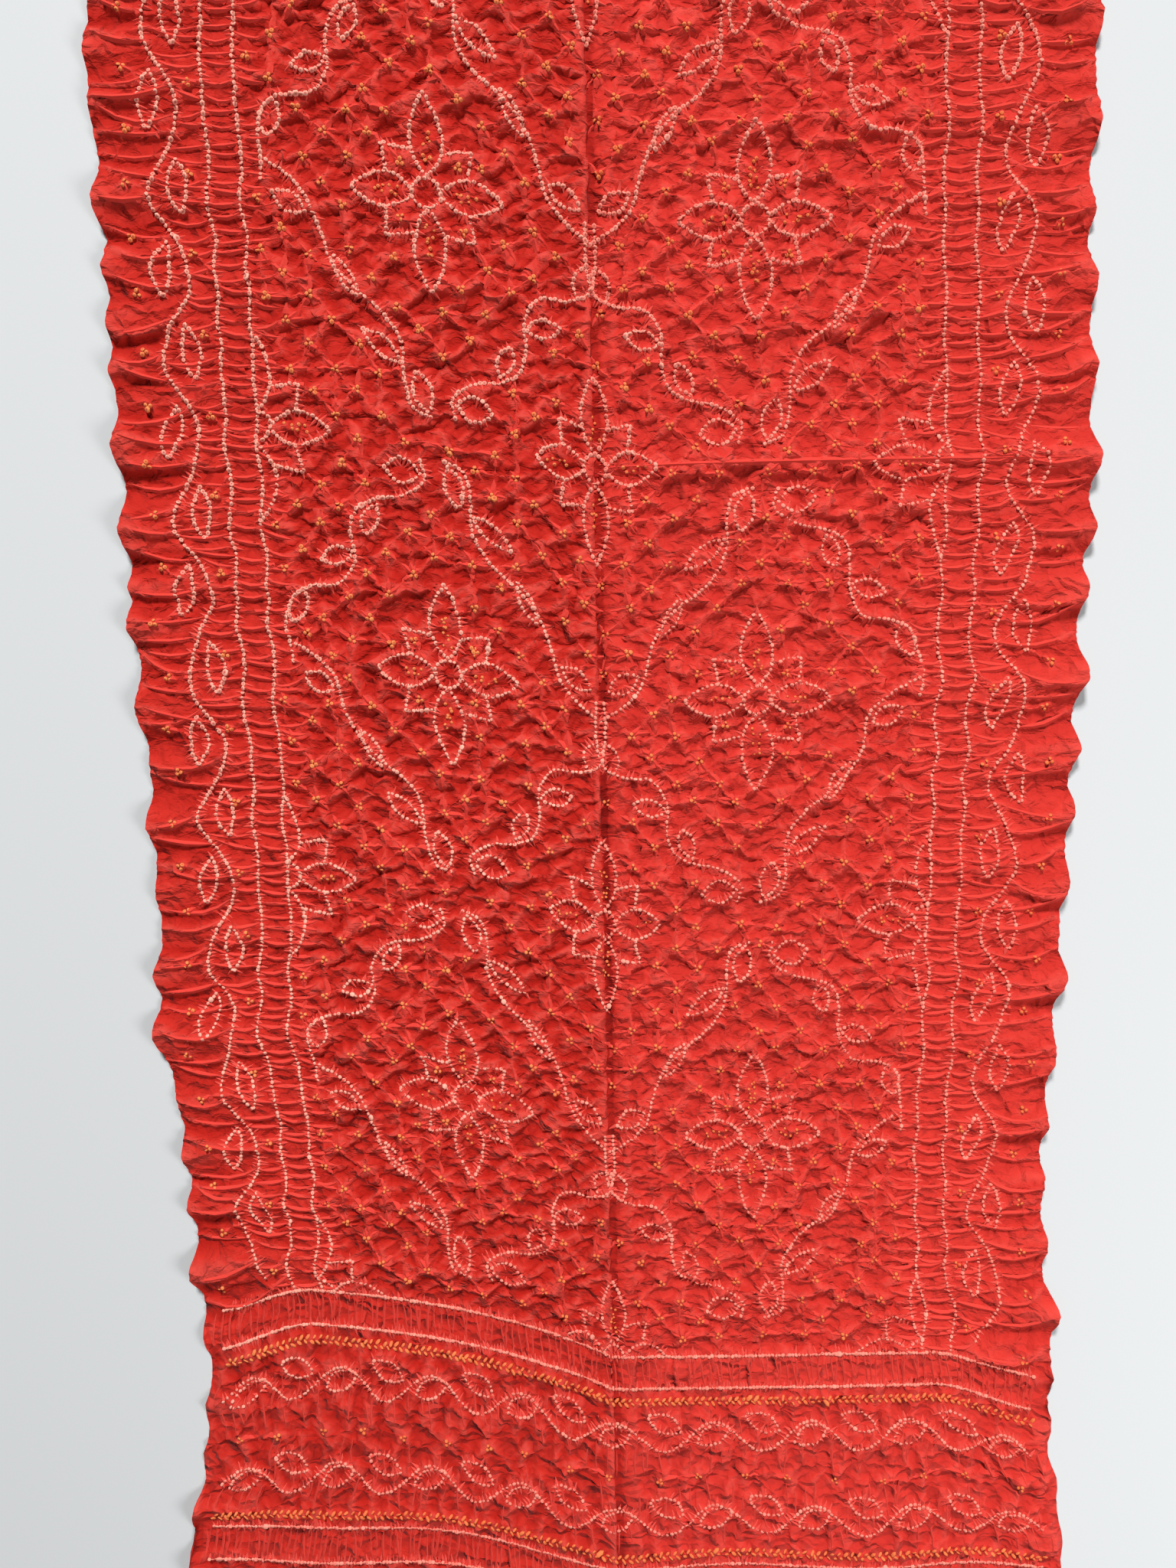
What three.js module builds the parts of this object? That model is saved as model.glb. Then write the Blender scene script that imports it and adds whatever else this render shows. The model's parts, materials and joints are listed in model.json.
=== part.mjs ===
// A tie-dyed bandhani stole opened out flat in one layer, drawn up all over by its tied dots.
// Millimetres, +Z up: +Y runs along the cloth, +X across it, and the underside rests on Z = 0.
import * as THREE from "three";

// The sheet
const HALF_LENGTH = 762;
const THICKNESS = 1.5;
const ROWS = 160;
const COLUMNS = 16;
const CLOTH_RED = 0xc2332b;

// How far the two long edges lie from the lengthwise crease, before their folds are added.
const OUTLINE = [
  { along: 762, left: 322, right: 326 },
  { along: 640, left: 314, right: 320 },
  { along: 500, left: 318, right: 324 },
  { along: 420, left: 323, right: 330 },
  { along: 300, left: 319, right: 330 },
  { along: 160, left: 317, right: 334 },
  { along: 0, left: 316, right: 329 },
  { along: -150, left: 314, right: 324 },
  { along: -230, left: 321, right: 321 },
  { along: -310, left: 307, right: 314 },
  { along: -400, left: 306, right: 316 },
  { along: -480, left: 302, right: 326 },
  { along: -570, left: 309, right: 326 },
  { along: -640, left: 326, right: 338 },
  { along: -762, left: 330, right: 342 },
];

// Folds that run from the borders out over each long edge: where the crest meets the edge, half its width,
// how far it pushes the edge out, how high it stands and how far its crest climbs along the cloth inwards.
const LEFT_FOLDS = [
  { along: 706, spread: 24, out: 5, lift: 7, climb: 6 },
  { along: 651, spread: 22, out: 6, lift: 8, climb: -5 },
  { along: 598, spread: 20, out: 5, lift: 6, climb: 4 },
  { along: 548, spread: 24, out: 6, lift: 9, climb: 8 },
  { along: 492, spread: 26, out: 4, lift: 7, climb: 10 },
  { along: 428, spread: 24, out: 4, lift: 7, climb: 16 },
  { along: 396, spread: 16, out: 3, lift: 6, climb: 14 },
  { along: 336, spread: 27, out: 6, lift: 9, climb: 20 },
  { along: 296, spread: 17, out: 5, lift: 7, climb: 12 },
  { along: 259, spread: 18, out: 6, lift: 8, climb: 14 },
  { along: 229, spread: 16, out: 7, lift: 8, climb: 10 },
  { along: 181, spread: 24, out: 11, lift: 12, climb: -12 },
  { along: 125, spread: 23, out: 9, lift: 11, climb: -16 },
  { along: 86, spread: 16, out: 5, lift: 7, climb: -10 },
  { along: 61, spread: 20, out: 9, lift: 10, climb: -14 },
  { along: 4, spread: 30, out: 6, lift: 8, climb: -12 },
  { along: -78, spread: 24, out: 6, lift: 8, climb: -6 },
  { along: -128, spread: 20, out: 4, lift: 6, climb: 5 },
  { along: -186, spread: 22, out: 6, lift: 8, climb: 8 },
  { along: -232, spread: 26, out: 8, lift: 9, climb: -6 },
  { along: -322, spread: 22, out: 6, lift: 8, climb: 4 },
  { along: -362, spread: 16, out: 5, lift: 7, climb: 8 },
  { along: -414, spread: 22, out: 7, lift: 9, climb: 12 },
  { along: -466, spread: 22, out: 4, lift: 6, climb: 8 },
  { along: -526, spread: 20, out: 5, lift: 7, climb: 0 },
  { along: -568, spread: 18, out: 6, lift: 7, climb: 3 },
  { along: -606, spread: 17, out: 7, lift: 8, climb: -4 },
  { along: -650, spread: 20, out: 5, lift: 8, climb: 2 },
  { along: -704, spread: 24, out: 5, lift: 7, climb: 5 },
];
const RIGHT_FOLDS = [
  { along: 712, spread: 22, out: 4, lift: 6, climb: 5 },
  { along: 662, spread: 24, out: 6, lift: 8, climb: -4 },
  { along: 606, spread: 21, out: 5, lift: 7, climb: 6 },
  { along: 556, spread: 22, out: 5, lift: 8, climb: 8 },
  { along: 494, spread: 24, out: 5, lift: 7, climb: 12 },
  { along: 434, spread: 22, out: 6, lift: 9, climb: 22 },
  { along: 372, spread: 25, out: 6, lift: 9, climb: 24 },
  { along: 318, spread: 18, out: 3, lift: 7, climb: 18 },
  { along: 272, spread: 24, out: 6, lift: 9, climb: 20 },
  { along: 218, spread: 20, out: 7, lift: 9, climb: 16 },
  { along: 158, spread: 22, out: 11, lift: 12, climb: 2 },
  { along: 112, spread: 20, out: 8, lift: 10, climb: -8 },
  { along: 72, spread: 18, out: 6, lift: 9, climb: -12 },
  { along: 14, spread: 24, out: 9, lift: 11, climb: -16 },
  { along: -38, spread: 20, out: 6, lift: 8, climb: -18 },
  { along: -82, spread: 20, out: 6, lift: 8, climb: -16 },
  { along: -132, spread: 22, out: 7, lift: 9, climb: -20 },
  { along: -202, spread: 24, out: 7, lift: 10, climb: -22 },
  { along: -262, spread: 22, out: 7, lift: 9, climb: -10 },
  { along: -312, spread: 18, out: 6, lift: 8, climb: 4 },
  { along: -356, spread: 18, out: 4, lift: 6, climb: 6 },
  { along: -404, spread: 22, out: 5, lift: 8, climb: 8 },
  { along: -460, spread: 26, out: 7, lift: 9, climb: 12 },
  { along: -514, spread: 18, out: 3, lift: 6, climb: 6 },
  { along: -558, spread: 18, out: 6, lift: 8, climb: 4 },
  { along: -602, spread: 20, out: 7, lift: 9, climb: 8 },
  { along: -652, spread: 22, out: 9, lift: 10, climb: 10 },
  { along: -712, spread: 24, out: 5, lift: 7, climb: 4 },
];
const FOLD_RUN = 84; // inwards from an edge, as far as the vine border

// How far the half left of the crease lies pushed up along the cloth, most of all near its edge.
const DRIFT = [
  { along: 762, rise: 30 },
  { along: 450, rise: 42 },
  { along: 0, rise: 44 },
  { along: -300, rise: 61 },
  { along: -490, rise: 75 },
  { along: -650, rise: 58 },
  { along: -762, rise: 44 },
];
const DRIFT_REACH = 150;
const HALF_WIDTH = 322; // of the drawn-in cloth, on average

// Shallow ripples that the tied dots raise over the whole cloth, running across it.
const RIPPLES = [
  { pitch: 63, height: 2.6, sway: 1.3, swayLength: 118, phase: 0.4 },
  { pitch: 41, height: 2.0, sway: 1.7, swayLength: 74, phase: 2.1 },
  { pitch: 129, height: 1.2, sway: 0.8, swayLength: 190, phase: 1.2 },
];
const RIPPLE_REST = 1.6; // mean height of the ripples over the surface they lie on

// The creases of an earlier folding: a valley down the middle, and a cross crease that is a ridge on one
// side of it and a valley on the other.
const CREASE_FLAT = 15;
const CREASE_SLOPE = 44;
const CROSS_ALONG = 160;
const CROSS_SPREAD = 21;
const CROSS_RIDGE = 5.5;

// The end borders, gathered the other way, where the ripples fade, and the waves of the two hems.
const END_BORDER = 492;
const END_BORDER_FADE = 60;
const END_BORDER_RIPPLE = 0.35;
const HEM_WAVE = 5;
const HEM_WAVE_LENGTH = 210;

// A table's column at a place along the cloth, eased between its rows.
function between(table, column, along) {
  const last = table.length - 1;
  const next = Math.min(Math.max(table.findIndex((row) => row.along <= along), 1), last);
  const upper = table[next - 1];
  const lower = table[next];
  const share = THREE.MathUtils.smoothstep(-along, -upper.along, -lower.along);
  return THREE.MathUtils.lerp(upper[column], lower[column], share);
}

// A rounded crest: 1 in its middle, 0 from one spread away.
function crest(distance, spread) {
  const share = Math.min(Math.abs(distance) / spread, 1);
  return Math.cos((share * Math.PI) / 2) ** 2;
}

// The highest of a side's folds at a point, in one of their columns, inset from the edge.
function foldAt(folds, column, along, inset) {
  const run = Math.min(inset / FOLD_RUN, 1);
  const reach = (1 - run) ** 1.5;
  const heights = folds.map((fold) => {
    const middle = fold.along + fold.climb * run;
    return fold[column] * reach * crest(along - middle, fold.spread);
  });
  return Math.max(...heights);
}

// How high the ripples stand before the cloth settles on the surface.
function ripple(x, along) {
  const intoBorder = THREE.MathUtils.smoothstep(Math.abs(along), END_BORDER, END_BORDER + END_BORDER_FADE);
  const strength = THREE.MathUtils.lerp(1, END_BORDER_RIPPLE, intoBorder);
  return RIPPLES.reduce((sum, wave) => {
    const sway = wave.sway * Math.sin(x / wave.swayLength + wave.phase);
    const turn = (2 * Math.PI * along) / wave.pitch + sway + wave.phase;
    return sum + (wave.height / 2) * strength * Math.sin(turn);
  }, RIPPLE_REST);
}

// How high the underside lies at a point of the cloth.
function underside(x, along, folds, inset) {
  const fromCrease = Math.abs(x);
  const risen = THREE.MathUtils.smoothstep(fromCrease, CREASE_FLAT, CREASE_FLAT + CREASE_SLOPE);
  const cross = crest(along - CROSS_ALONG, CROSS_SPREAD);
  const ridge = x > 0 ? CROSS_RIDGE * cross : 0;
  const valley = x < 0 ? 1 - cross : 1;
  const body = ripple(x, along) * valley + ridge;
  const margin = foldAt(folds, "lift", along, inset);
  return Math.max(body * risen, margin, 0);
}

// How far a point is pushed along the cloth: the left half's drift, and the waves near a hem.
function pushAlong(x, along) {
  const rise = x < 0 ? between(DRIFT, "rise", along) : 0;
  const nearHem = THREE.MathUtils.smoothstep(Math.abs(along), END_BORDER, HALF_LENGTH);
  const turn = (2 * Math.PI * x) / HEM_WAVE_LENGTH + along / HALF_LENGTH;
  return rise * (1 - Math.exp(x / DRIFT_REACH)) + HEM_WAVE * nearHem * Math.sin(turn);
}

// A point of the sheet's underside, from its place across and lengthwise, each from -1 to 1.
function clothPoint(across, lengthwise) {
  const side = Math.sign(across);
  const folds = side < 0 ? LEFT_FOLDS : RIGHT_FOLDS;
  const column = side < 0 ? "left" : "right";
  const share = THREE.MathUtils.smoothstep(Math.abs(across), 0, 1);
  const level = HALF_LENGTH * lengthwise;
  const along = level + pushAlong(side * share * HALF_WIDTH, level);
  const edge = between(OUTLINE, column, along) + foldAt(folds, "out", along, 0);
  const x = side * share * edge;
  return new THREE.Vector3(x, along, underside(x, along, folds, edge * (1 - share)));
}

// The sheet is a thin box in many segments, bent point by point to the cloth's outline and folds.
function clothGeometry() {
  const sheet = new THREE.BoxGeometry(2, 2, 1, COLUMNS, ROWS, 1);
  const position = sheet.attributes.position;
  for (let i = 0; i < position.count; i += 1) {
    const point = clothPoint(position.getX(i), position.getY(i));
    const upper = position.getZ(i) > 0;
    position.setXYZ(i, point.x, point.y, upper ? point.z + THICKNESS : point.z);
  }
  sheet.computeVertexNormals();
  return sheet;
}

// The origin is under the middle of the cloth's box.
function centred(mesh) {
  const middle = new THREE.Box3().setFromObject(mesh).getCenter(new THREE.Vector3());
  mesh.position.set(-middle.x, -middle.y, 0);
  return mesh;
}

const dyedCotton = new THREE.MeshStandardMaterial({
  color: CLOTH_RED,
  roughness: 0.85,
  metalness: 0,
});
const cloth = new THREE.Mesh(clothGeometry(), dyedCotton);
cloth.name = "cloth";

const stole = new THREE.Group();
stole.add(centred(cloth));

export default stole;
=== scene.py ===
"""A red bandhani stole laid out flat: crinkled tie-dyed cotton with its tied dots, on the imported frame."""
from __future__ import annotations

import json
import logging
import math
from dataclasses import dataclass, field
from enum import Enum

import bpy
import numpy as np
from bpy.types import ID, Material, Mesh, Modifier, Node, NodeSocket, NodeTree, Object
from mathutils import Matrix, Vector
from mathutils.bvhtree import BVHTree

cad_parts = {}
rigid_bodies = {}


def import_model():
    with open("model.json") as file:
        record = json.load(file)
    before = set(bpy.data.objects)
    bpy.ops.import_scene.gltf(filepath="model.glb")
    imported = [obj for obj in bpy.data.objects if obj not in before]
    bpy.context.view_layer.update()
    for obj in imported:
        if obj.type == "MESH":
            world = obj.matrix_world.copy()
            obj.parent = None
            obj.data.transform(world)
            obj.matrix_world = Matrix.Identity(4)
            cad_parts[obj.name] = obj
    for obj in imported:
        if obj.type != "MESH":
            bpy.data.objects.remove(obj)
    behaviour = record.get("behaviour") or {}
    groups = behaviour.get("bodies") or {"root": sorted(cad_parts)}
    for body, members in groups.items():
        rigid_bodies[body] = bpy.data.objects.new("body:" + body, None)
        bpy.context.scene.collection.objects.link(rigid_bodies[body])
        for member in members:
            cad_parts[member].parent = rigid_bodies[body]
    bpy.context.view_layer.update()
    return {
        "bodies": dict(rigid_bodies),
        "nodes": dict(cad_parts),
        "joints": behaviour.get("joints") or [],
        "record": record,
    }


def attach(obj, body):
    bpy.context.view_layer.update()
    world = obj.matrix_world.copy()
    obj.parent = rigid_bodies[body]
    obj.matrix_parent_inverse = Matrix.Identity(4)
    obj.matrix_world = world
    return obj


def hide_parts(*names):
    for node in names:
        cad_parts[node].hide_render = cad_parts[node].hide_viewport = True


logging.basicConfig(level=logging.INFO, format="%(message)s")
LOG = logging.getLogger("stole")

Points = np.ndarray
Pair = tuple[float, float]
Triple = tuple[float, float, float]
Colour = tuple[float, float, float, float]
Slices = tuple[slice, slice]
LinkSet = tuple[Slices, Slices, Points, float]
MM = 0.001


class Knot(Enum):
    """The kinds of tied dot, by the row they stand in."""

    LINE = "line"
    FINE = "fine"
    PETAL = "petal"
    BRAID = "braid"
    CLUSTER = "cluster"


def eased(value: Points, low: float, high: float) -> Points:
    """A smooth step from 0 at low to 1 at high."""
    share = np.clip((value - low) / (high - low), 0.0, 1.0)
    return share * share * (3.0 - 2.0 * share)


def turned(path: Points, degrees: float) -> Points:
    """A path turned anticlockwise about the origin."""
    cosine, sine = math.cos(math.radians(degrees)), math.sin(math.radians(degrees))
    return path @ np.array(((cosine, -sine), (sine, cosine))).T


def through(points: tuple[Pair, ...], steps: int = 14) -> Points:
    """A smooth curve through charted points.

    Args:
        points: the points, in order.
        steps: how many samples each span gets.

    Returns:
        The curve's samples, one row each.
    """
    knots = np.asarray(points, float)
    ends = np.vstack((2 * knots[0] - knots[1], knots, 2 * knots[-1] - knots[-2]))
    t = np.linspace(0.0, 1.0, steps, endpoint=False)[:, None]
    spans = []
    for a, b, c, d in zip(ends, ends[1:], ends[2:], ends[3:]):
        curve = 2 * b + (c - a) * t + (2 * a - 5 * b + 4 * c - d) * t**2 + (3 * b - a - 3 * c + d) * t**3
        spans.append(0.5 * curve)
    return np.vstack(spans + [knots[-1:]])


def leaf(length: float, width: float, belly: float = 1.0) -> Points:
    """A closed pointed leaf from its root at the origin along +X.

    Args:
        length: root to tip.
        width: across its widest place.
        belly: under 1 the widest place lies nearer the root.

    Returns:
        The outline, root to tip and back.
    """
    share = np.linspace(0.0, 1.0, 24)
    half = 0.5 * width * np.sin(math.pi * share**belly) ** 0.85
    upper = np.column_stack((share * length, half))
    return np.vstack((upper, (upper * (1, -1))[-2::-1]))


def ring(radius: float) -> Points:
    """A closed circle round the origin."""
    angle = np.linspace(0.0, 2 * math.pi, 33)
    return radius * np.column_stack((np.cos(angle), np.sin(angle)))


def spaced(path: Points, pitch: float) -> Points:
    """Dots at an even pitch along a path, without a second one where a loop closes.

    Args:
        path: the path.
        pitch: the distance from dot to dot.

    Returns:
        Each dot's place across and along, and the path's heading there in radians.
    """
    run = np.concatenate(([0.0], np.cumsum(np.linalg.norm(np.diff(path, axis=0), axis=1))))
    count = max(int(round(run[-1] / pitch)), 1)
    closes = np.linalg.norm(path[0] - path[-1]) < 0.4 * pitch
    at = np.linspace(0.0, run[-1], count + 1)[: -1 if closes else None]
    across, along = (np.interp(at, run, np.gradient(path[:, axis])) for axis in (0, 1))
    places = [np.interp(at, run, path[:, axis]) for axis in (0, 1)]
    return np.column_stack((*places, np.arctan2(along, across)))


def within(path: Points, low: Pair, high: Pair) -> list[Points]:
    """The stretches of a path that lie inside a box.

    Args:
        path: the path.
        low: the box's lower corner.
        high: the box's upper corner.

    Returns:
        One path for each stretch of more than a few millimetres.
    """
    fine = spaced(path, 1.0)[:, :2]
    inside = np.all((fine > low) & (fine < high), axis=1)
    breaks = np.flatnonzero(np.diff(inside.astype(int))) + 1
    runs = zip(np.split(fine, breaks), np.split(inside, breaks))
    return [run for run, kept in runs if len(run) > 3 and kept[0]]


def bowed(start: Points, stop: Points, bow: float, steps: int) -> Points:
    """A path from one place to another that bows to its left.

    Args:
        start: where it starts.
        stop: where it ends.
        bow: how far it bows, as a share of its length.
        steps: how many points it has.

    Returns:
        The path's points.
    """
    share = np.linspace(0.0, 1.0, steps)[:, None]
    aside = np.array((start[1] - stop[1], stop[0] - start[0]))
    return start + (stop - start) * share + bow * np.sin(math.pi * share) * aside


def linked(name: str, data: ID) -> Object:
    """Puts a new object into the scene, at the origin.

    Args:
        name: its name.
        data: its mesh, lamp or camera.

    Returns:
        The object.
    """
    made = bpy.data.objects.new(name, data)
    bpy.context.scene.collection.objects.link(made)
    return made


def applied(piece: Object, modifier: Modifier) -> Object:
    """Swaps a piece's mesh for what its one modifier makes of it, and takes the modifier off.

    Args:
        piece: the piece.
        modifier: its modifier.

    Returns:
        The piece, with a plain mesh.
    """
    before = piece.data
    made = bpy.data.meshes.new_from_object(piece.evaluated_get(bpy.context.evaluated_depsgraph_get()))
    piece.modifiers.remove(modifier)
    piece.data = made
    bpy.data.meshes.remove(before)
    made.name = piece.name
    return piece


def stored(mesh: Mesh, name: str, values: Points) -> None:
    """Keeps one number for each point of a mesh."""
    mesh.attributes.new(name, "FLOAT", "POINT").data.foreach_set("value", values.ravel().astype(np.float32))


@dataclass
class StoleChart:
    """The pattern as it was tied, in millimetres from the middle of the flat stole.

    Rows of medallions lie in two columns between dotted side borders, and a broad border ends the cloth.
    """

    half_width: float = 325.0
    inner_line: float = 230.0
    outer_line: float = 251.5
    column: float = 107.0
    row: float = 317.0
    first_line: float = 492.0
    hem: float = 762.0
    vine_inset: float = 14.0
    side_vine: float = 279.0
    side_sway: float = 10.5
    vine_phase: float = 0.6
    side_leaf: Pair = (35.0, 12.5)
    side_leaf_root: Pair = (5.5, 21.0)
    side_leaf_tilt: float = 8.0
    side_leaf_inset: float = 30.0
    end_lines: tuple[float, ...] = (0.0, 26.0, 176.0, 202.0)
    end_braids: tuple[float, ...] = (37.0, 166.0)
    end_vines: tuple[float, ...] = (66.0, 136.0)
    end_period: float = 73.0
    end_sway: float = 12.0
    end_leaf: Triple = (27.0, 15.0, 0.9)
    end_leaf_root: Pair = (12.0, 5.0)
    end_leaf_angle: float = 28.0
    end_leaf_inset: float = 16.0
    line_pitch: float = 3.3
    fine_pitch: float = 2.5
    petal_pitch: float = 4.0
    petal_gaps: float = 0.22
    braid_half: float = 1.7
    braid_slant: float = 0.75
    crease_narrowing: float = 0.8
    stamen_clear: float = 4.0
    stamen_start: float = 20.0
    stamen_apart: float = 2.0
    trefoil: float = 1.8
    cluster_pitch: Pair = (30.0, 15.0)
    cluster_clear: float = 8.5
    cluster_reach: float = 300.0
    flower_cluster: float = 20.0
    field_stray: float = 2.5
    border_stray: float = 3.0
    unevenness: float = 0.26
    loose_fine: float = 0.4
    loose_petal: float = 3.0
    seed: int = 7

    # A medallion's two upper branches, from side tip to top. The lower two are these turned half round.
    outer_branch: tuple[Pair, ...] = (
        (-110, 1), (-110, 28), (-105, 45), (-91, 53), (-72, 56), (-62, 72),
        (-62, 92), (-57, 107), (-44, 115), (-26, 119), (-11, 130), (-13, 143),
    )
    inner_branch: tuple[Pair, ...] = (
        (107, -13), (92, -4), (79, 10), (73, 31), (65, 51), (50, 67),
        (33, 80), (22, 98), (21, 122), (16, 139), (4, 144),
    )
    # The leaves on them: root across, root along, angle, length, width.
    leaves: tuple[tuple[float, ...], ...] = (
        (-14, 134, 172, 24, 17), (-44, 111, -112, 22, 11), (-63, 78, 196, 23, 12), (-98, 50, -108, 23, 13),
        (6, 141, -76, 27, 13), (23, 110, -38, 31, 11), (51, 70, -62, 28, 9), (81, 18, -28, 22, 13),
    )
    # A flower's four petals: angle, root, and length, width and belly. Then its heart, a notched petal's
    # three points, and the far end of the stamens at each angle.
    petals: tuple[tuple[float, Pair, Triple], ...] = (
        (90, (0, 11), (50, 22, 0.85)), (-90, (0, -11), (53, 21, 0.85)),
        (180, (-9, 0), (41, 22, 0.9)), (0, (9, 0), (41, 22, 0.9)),
    )
    heart: float = 9.5
    notch: tuple[Pair, ...] = ((12.0, 26.0), (30.0, 29.0), (27.0, 12.0))
    stamen_ends: tuple[Pair, ...] = ((0, 33), (90, 38), (180, 33), (270, 38))
    # Rows of clusters up the sides: how far out, start, stop short, pitch. Then across the ends: off, pitch.
    side_clusters: tuple[tuple[float, ...], ...] = ((263.0, 20.0, 10.0, 317.0 / 6), (305.0, 12.0, 0.0, 36.0))
    end_clusters: tuple[Pair, ...] = ((101.0, 33.0), (228.0, 30.0))

    def flower(self) -> list[Points]:
        """Draws one flower.

        Returns:
            Its four petals, its round heart and the four notched petals between.
        """
        strokes = [turned(leaf(*blade), angle) + root for angle, root, blade in self.petals]
        strokes.append(ring(self.heart))
        notch = np.array(self.notch)
        return strokes + [notch * (across, along) for across in (-1, 1) for along in (-1, 1)]

    def stamens(self) -> list[Points]:
        """Draws one flower's stamens.

        Returns:
            The double rows of orange dots inside its four petals.
        """
        rows = []
        for angle, far in self.stamen_ends:
            for off in (-self.stamen_apart, self.stamen_apart):
                rows.append(turned(np.array(((self.stamen_start, off), (far, 0.6 * off))), angle))
        return rows

    def medallion(self) -> list[Points]:
        """Draws one medallion of the left column.

        Returns:
            The four branches with their leaves, and the flower inside them.
        """
        half = [through(self.outer_branch), through(self.inner_branch)]
        for across, along, angle, length, width in self.leaves:
            half.append(turned(leaf(length, width), angle) + (across, along))
        return half + [-path for path in half] + self.flower()

    def junctions(self) -> list[tuple[Points, Pair, Pair]]:
        """The flowers between the rows: whole on the crease, cut by the inner and the first cross lines.

        Returns:
            Each flower's middle with the box that it is cut to.
        """
        places = []
        for boundary in (-self.first_line, -0.5 * self.row, 0.5 * self.row, self.first_line):
            for across in (-self.inner_line, 0.0, self.inner_line):
                low = (-self.inner_line, -self.first_line + 0.5)
                high = (self.inner_line, self.first_line - 0.5)
                places.append((np.array((across, boundary)), low, high))
        return places

    def vine(self, along: Points | float) -> Points:
        """How far out the side vine stands at each place along the cloth."""
        return self.side_vine + self.side_sway * np.cos(6 * math.pi * along / self.row + self.vine_phase)

    def side_border(self, side: int) -> list[Points]:
        """One side's two dotted lines and its vine with a leaf in each bend.

        Args:
            side: -1 for the left border, 1 for the right.

        Returns:
            The border's paths.
        """
        reach = self.first_line
        lines = (side * self.inner_line, side * self.outer_line)
        paths = [np.array(((at, -reach), (at, reach))) for at in lines]
        period = self.row / 3
        along = np.linspace(-reach + self.vine_inset, reach - self.vine_inset, 400)
        paths.append(np.column_stack((side * self.vine(along), along)))
        bends = int(2 * reach / period)
        out, above = self.side_leaf_root
        for bend in range(-bends, bends + 1):
            middle = (0.5 * bend - self.vine_phase / (2 * math.pi)) * period
            if abs(middle) > reach - self.side_leaf_inset:
                continue
            outward = 1.0 if bend % 2 == 0 else -1.0
            blade = turned(leaf(*self.side_leaf), -90 - self.side_leaf_tilt * outward)
            paths.append((blade + (self.side_vine - out * outward, middle + above)) * (side, 1))
        return paths

    def end_border(self, end: int) -> dict[Knot, list[Points]]:
        """One end's cross lines, braids and vines.

        Args:
            end: -1 for the lower end, 1 for the upper.

        Returns:
            The paths of each kind of dot.
        """
        reach = self.half_width - self.vine_inset
        across = np.linspace(-reach, reach, 160)
        level = np.ones_like(across) * end
        paths: dict[Knot, list[Points]] = {Knot.LINE: []}
        for kind, offs in ((Knot.FINE, self.end_lines), (Knot.BRAID, self.end_braids)):
            paths[kind] = [np.column_stack((across, level * (self.first_line + off))) for off in offs]
        sway = self.end_sway * np.cos(2 * math.pi * across / self.end_period)
        bends = int(2 * reach / self.end_period) + 1
        back, below = self.end_leaf_root
        for off in self.end_vines:
            middle = end * (self.first_line + off)
            paths[Knot.LINE].append(np.column_stack((across, middle + sway)))
            for bend in range(-bends, bends + 1):
                place = 0.5 * bend * self.end_period
                if abs(place) > reach - self.end_leaf_inset:
                    continue
                up = 1 if bend % 2 == 0 else -1
                angle = self.end_leaf_angle if up > 0 else 180 - self.end_leaf_angle
                blade = turned(leaf(*self.end_leaf), angle)
                paths[Knot.LINE].append(blade + (place - back * up, middle - below * up))
        return paths

    def clusters(self, drawn: Points, rng: np.random.Generator) -> Points:
        """The middles of the three-dot clusters, staggered over the field clear of motifs, and in borders.

        Args:
            drawn: the dots that the clusters keep clear of.
            rng: the seeded source of their small misplacements.

        Returns:
            One row for each cluster.
        """
        wide, high = self.cluster_pitch
        places = []
        for level, along in enumerate(np.arange(-self.first_line + 16, self.first_line - 10, high)):
            shift = 0.5 * wide if level % 2 else 0.0
            run = np.arange(-self.inner_line + 10 + shift, self.inner_line - 6, wide)
            places += [(across, along) for across in run]
        inside = np.array(places) + rng.uniform(-self.field_stray, self.field_stray, (len(places), 2))
        clear = [np.abs(drawn[:, :2] - place).sum(axis=1).min() > self.cluster_clear for place in inside]
        border = []
        for side in (-1, 1):
            for out, start, short, pitch in self.side_clusters:
                run = np.arange(-self.first_line + start, self.first_line - short, pitch)
                border += [(side * out, along) for along in run]
        for end in (-1, 1):
            for off, pitch in self.end_clusters:
                run = np.arange(-self.cluster_reach, self.cluster_reach + 1, pitch)
                border += [(across, end * (self.first_line + off)) for across in run]
        corner = (-self.flower_cluster, self.flower_cluster)
        for side in (-self.column, self.column):
            for row in (-self.row, 0.0, self.row):
                border += [(side + across, row + along) for across in corner for along in corner]
        borders = np.array(border) + rng.uniform(-self.border_stray, self.border_stray, (len(border), 2))
        return np.vstack((inside[np.array(clear)], borders))

    def braid(self, path: Points) -> Points:
        """A herringbone of small dots.

        Args:
            path: the path it follows.

        Returns:
            The dots, with their headings.
        """
        dots = spaced(path, self.fine_pitch)
        side = np.where(np.arange(len(dots)) % 2, 1.0, -1.0)
        slant = 0.5 * math.pi - self.braid_slant * side
        return dots + np.column_stack((np.zeros(len(dots)), self.braid_half * side, slant))

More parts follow.
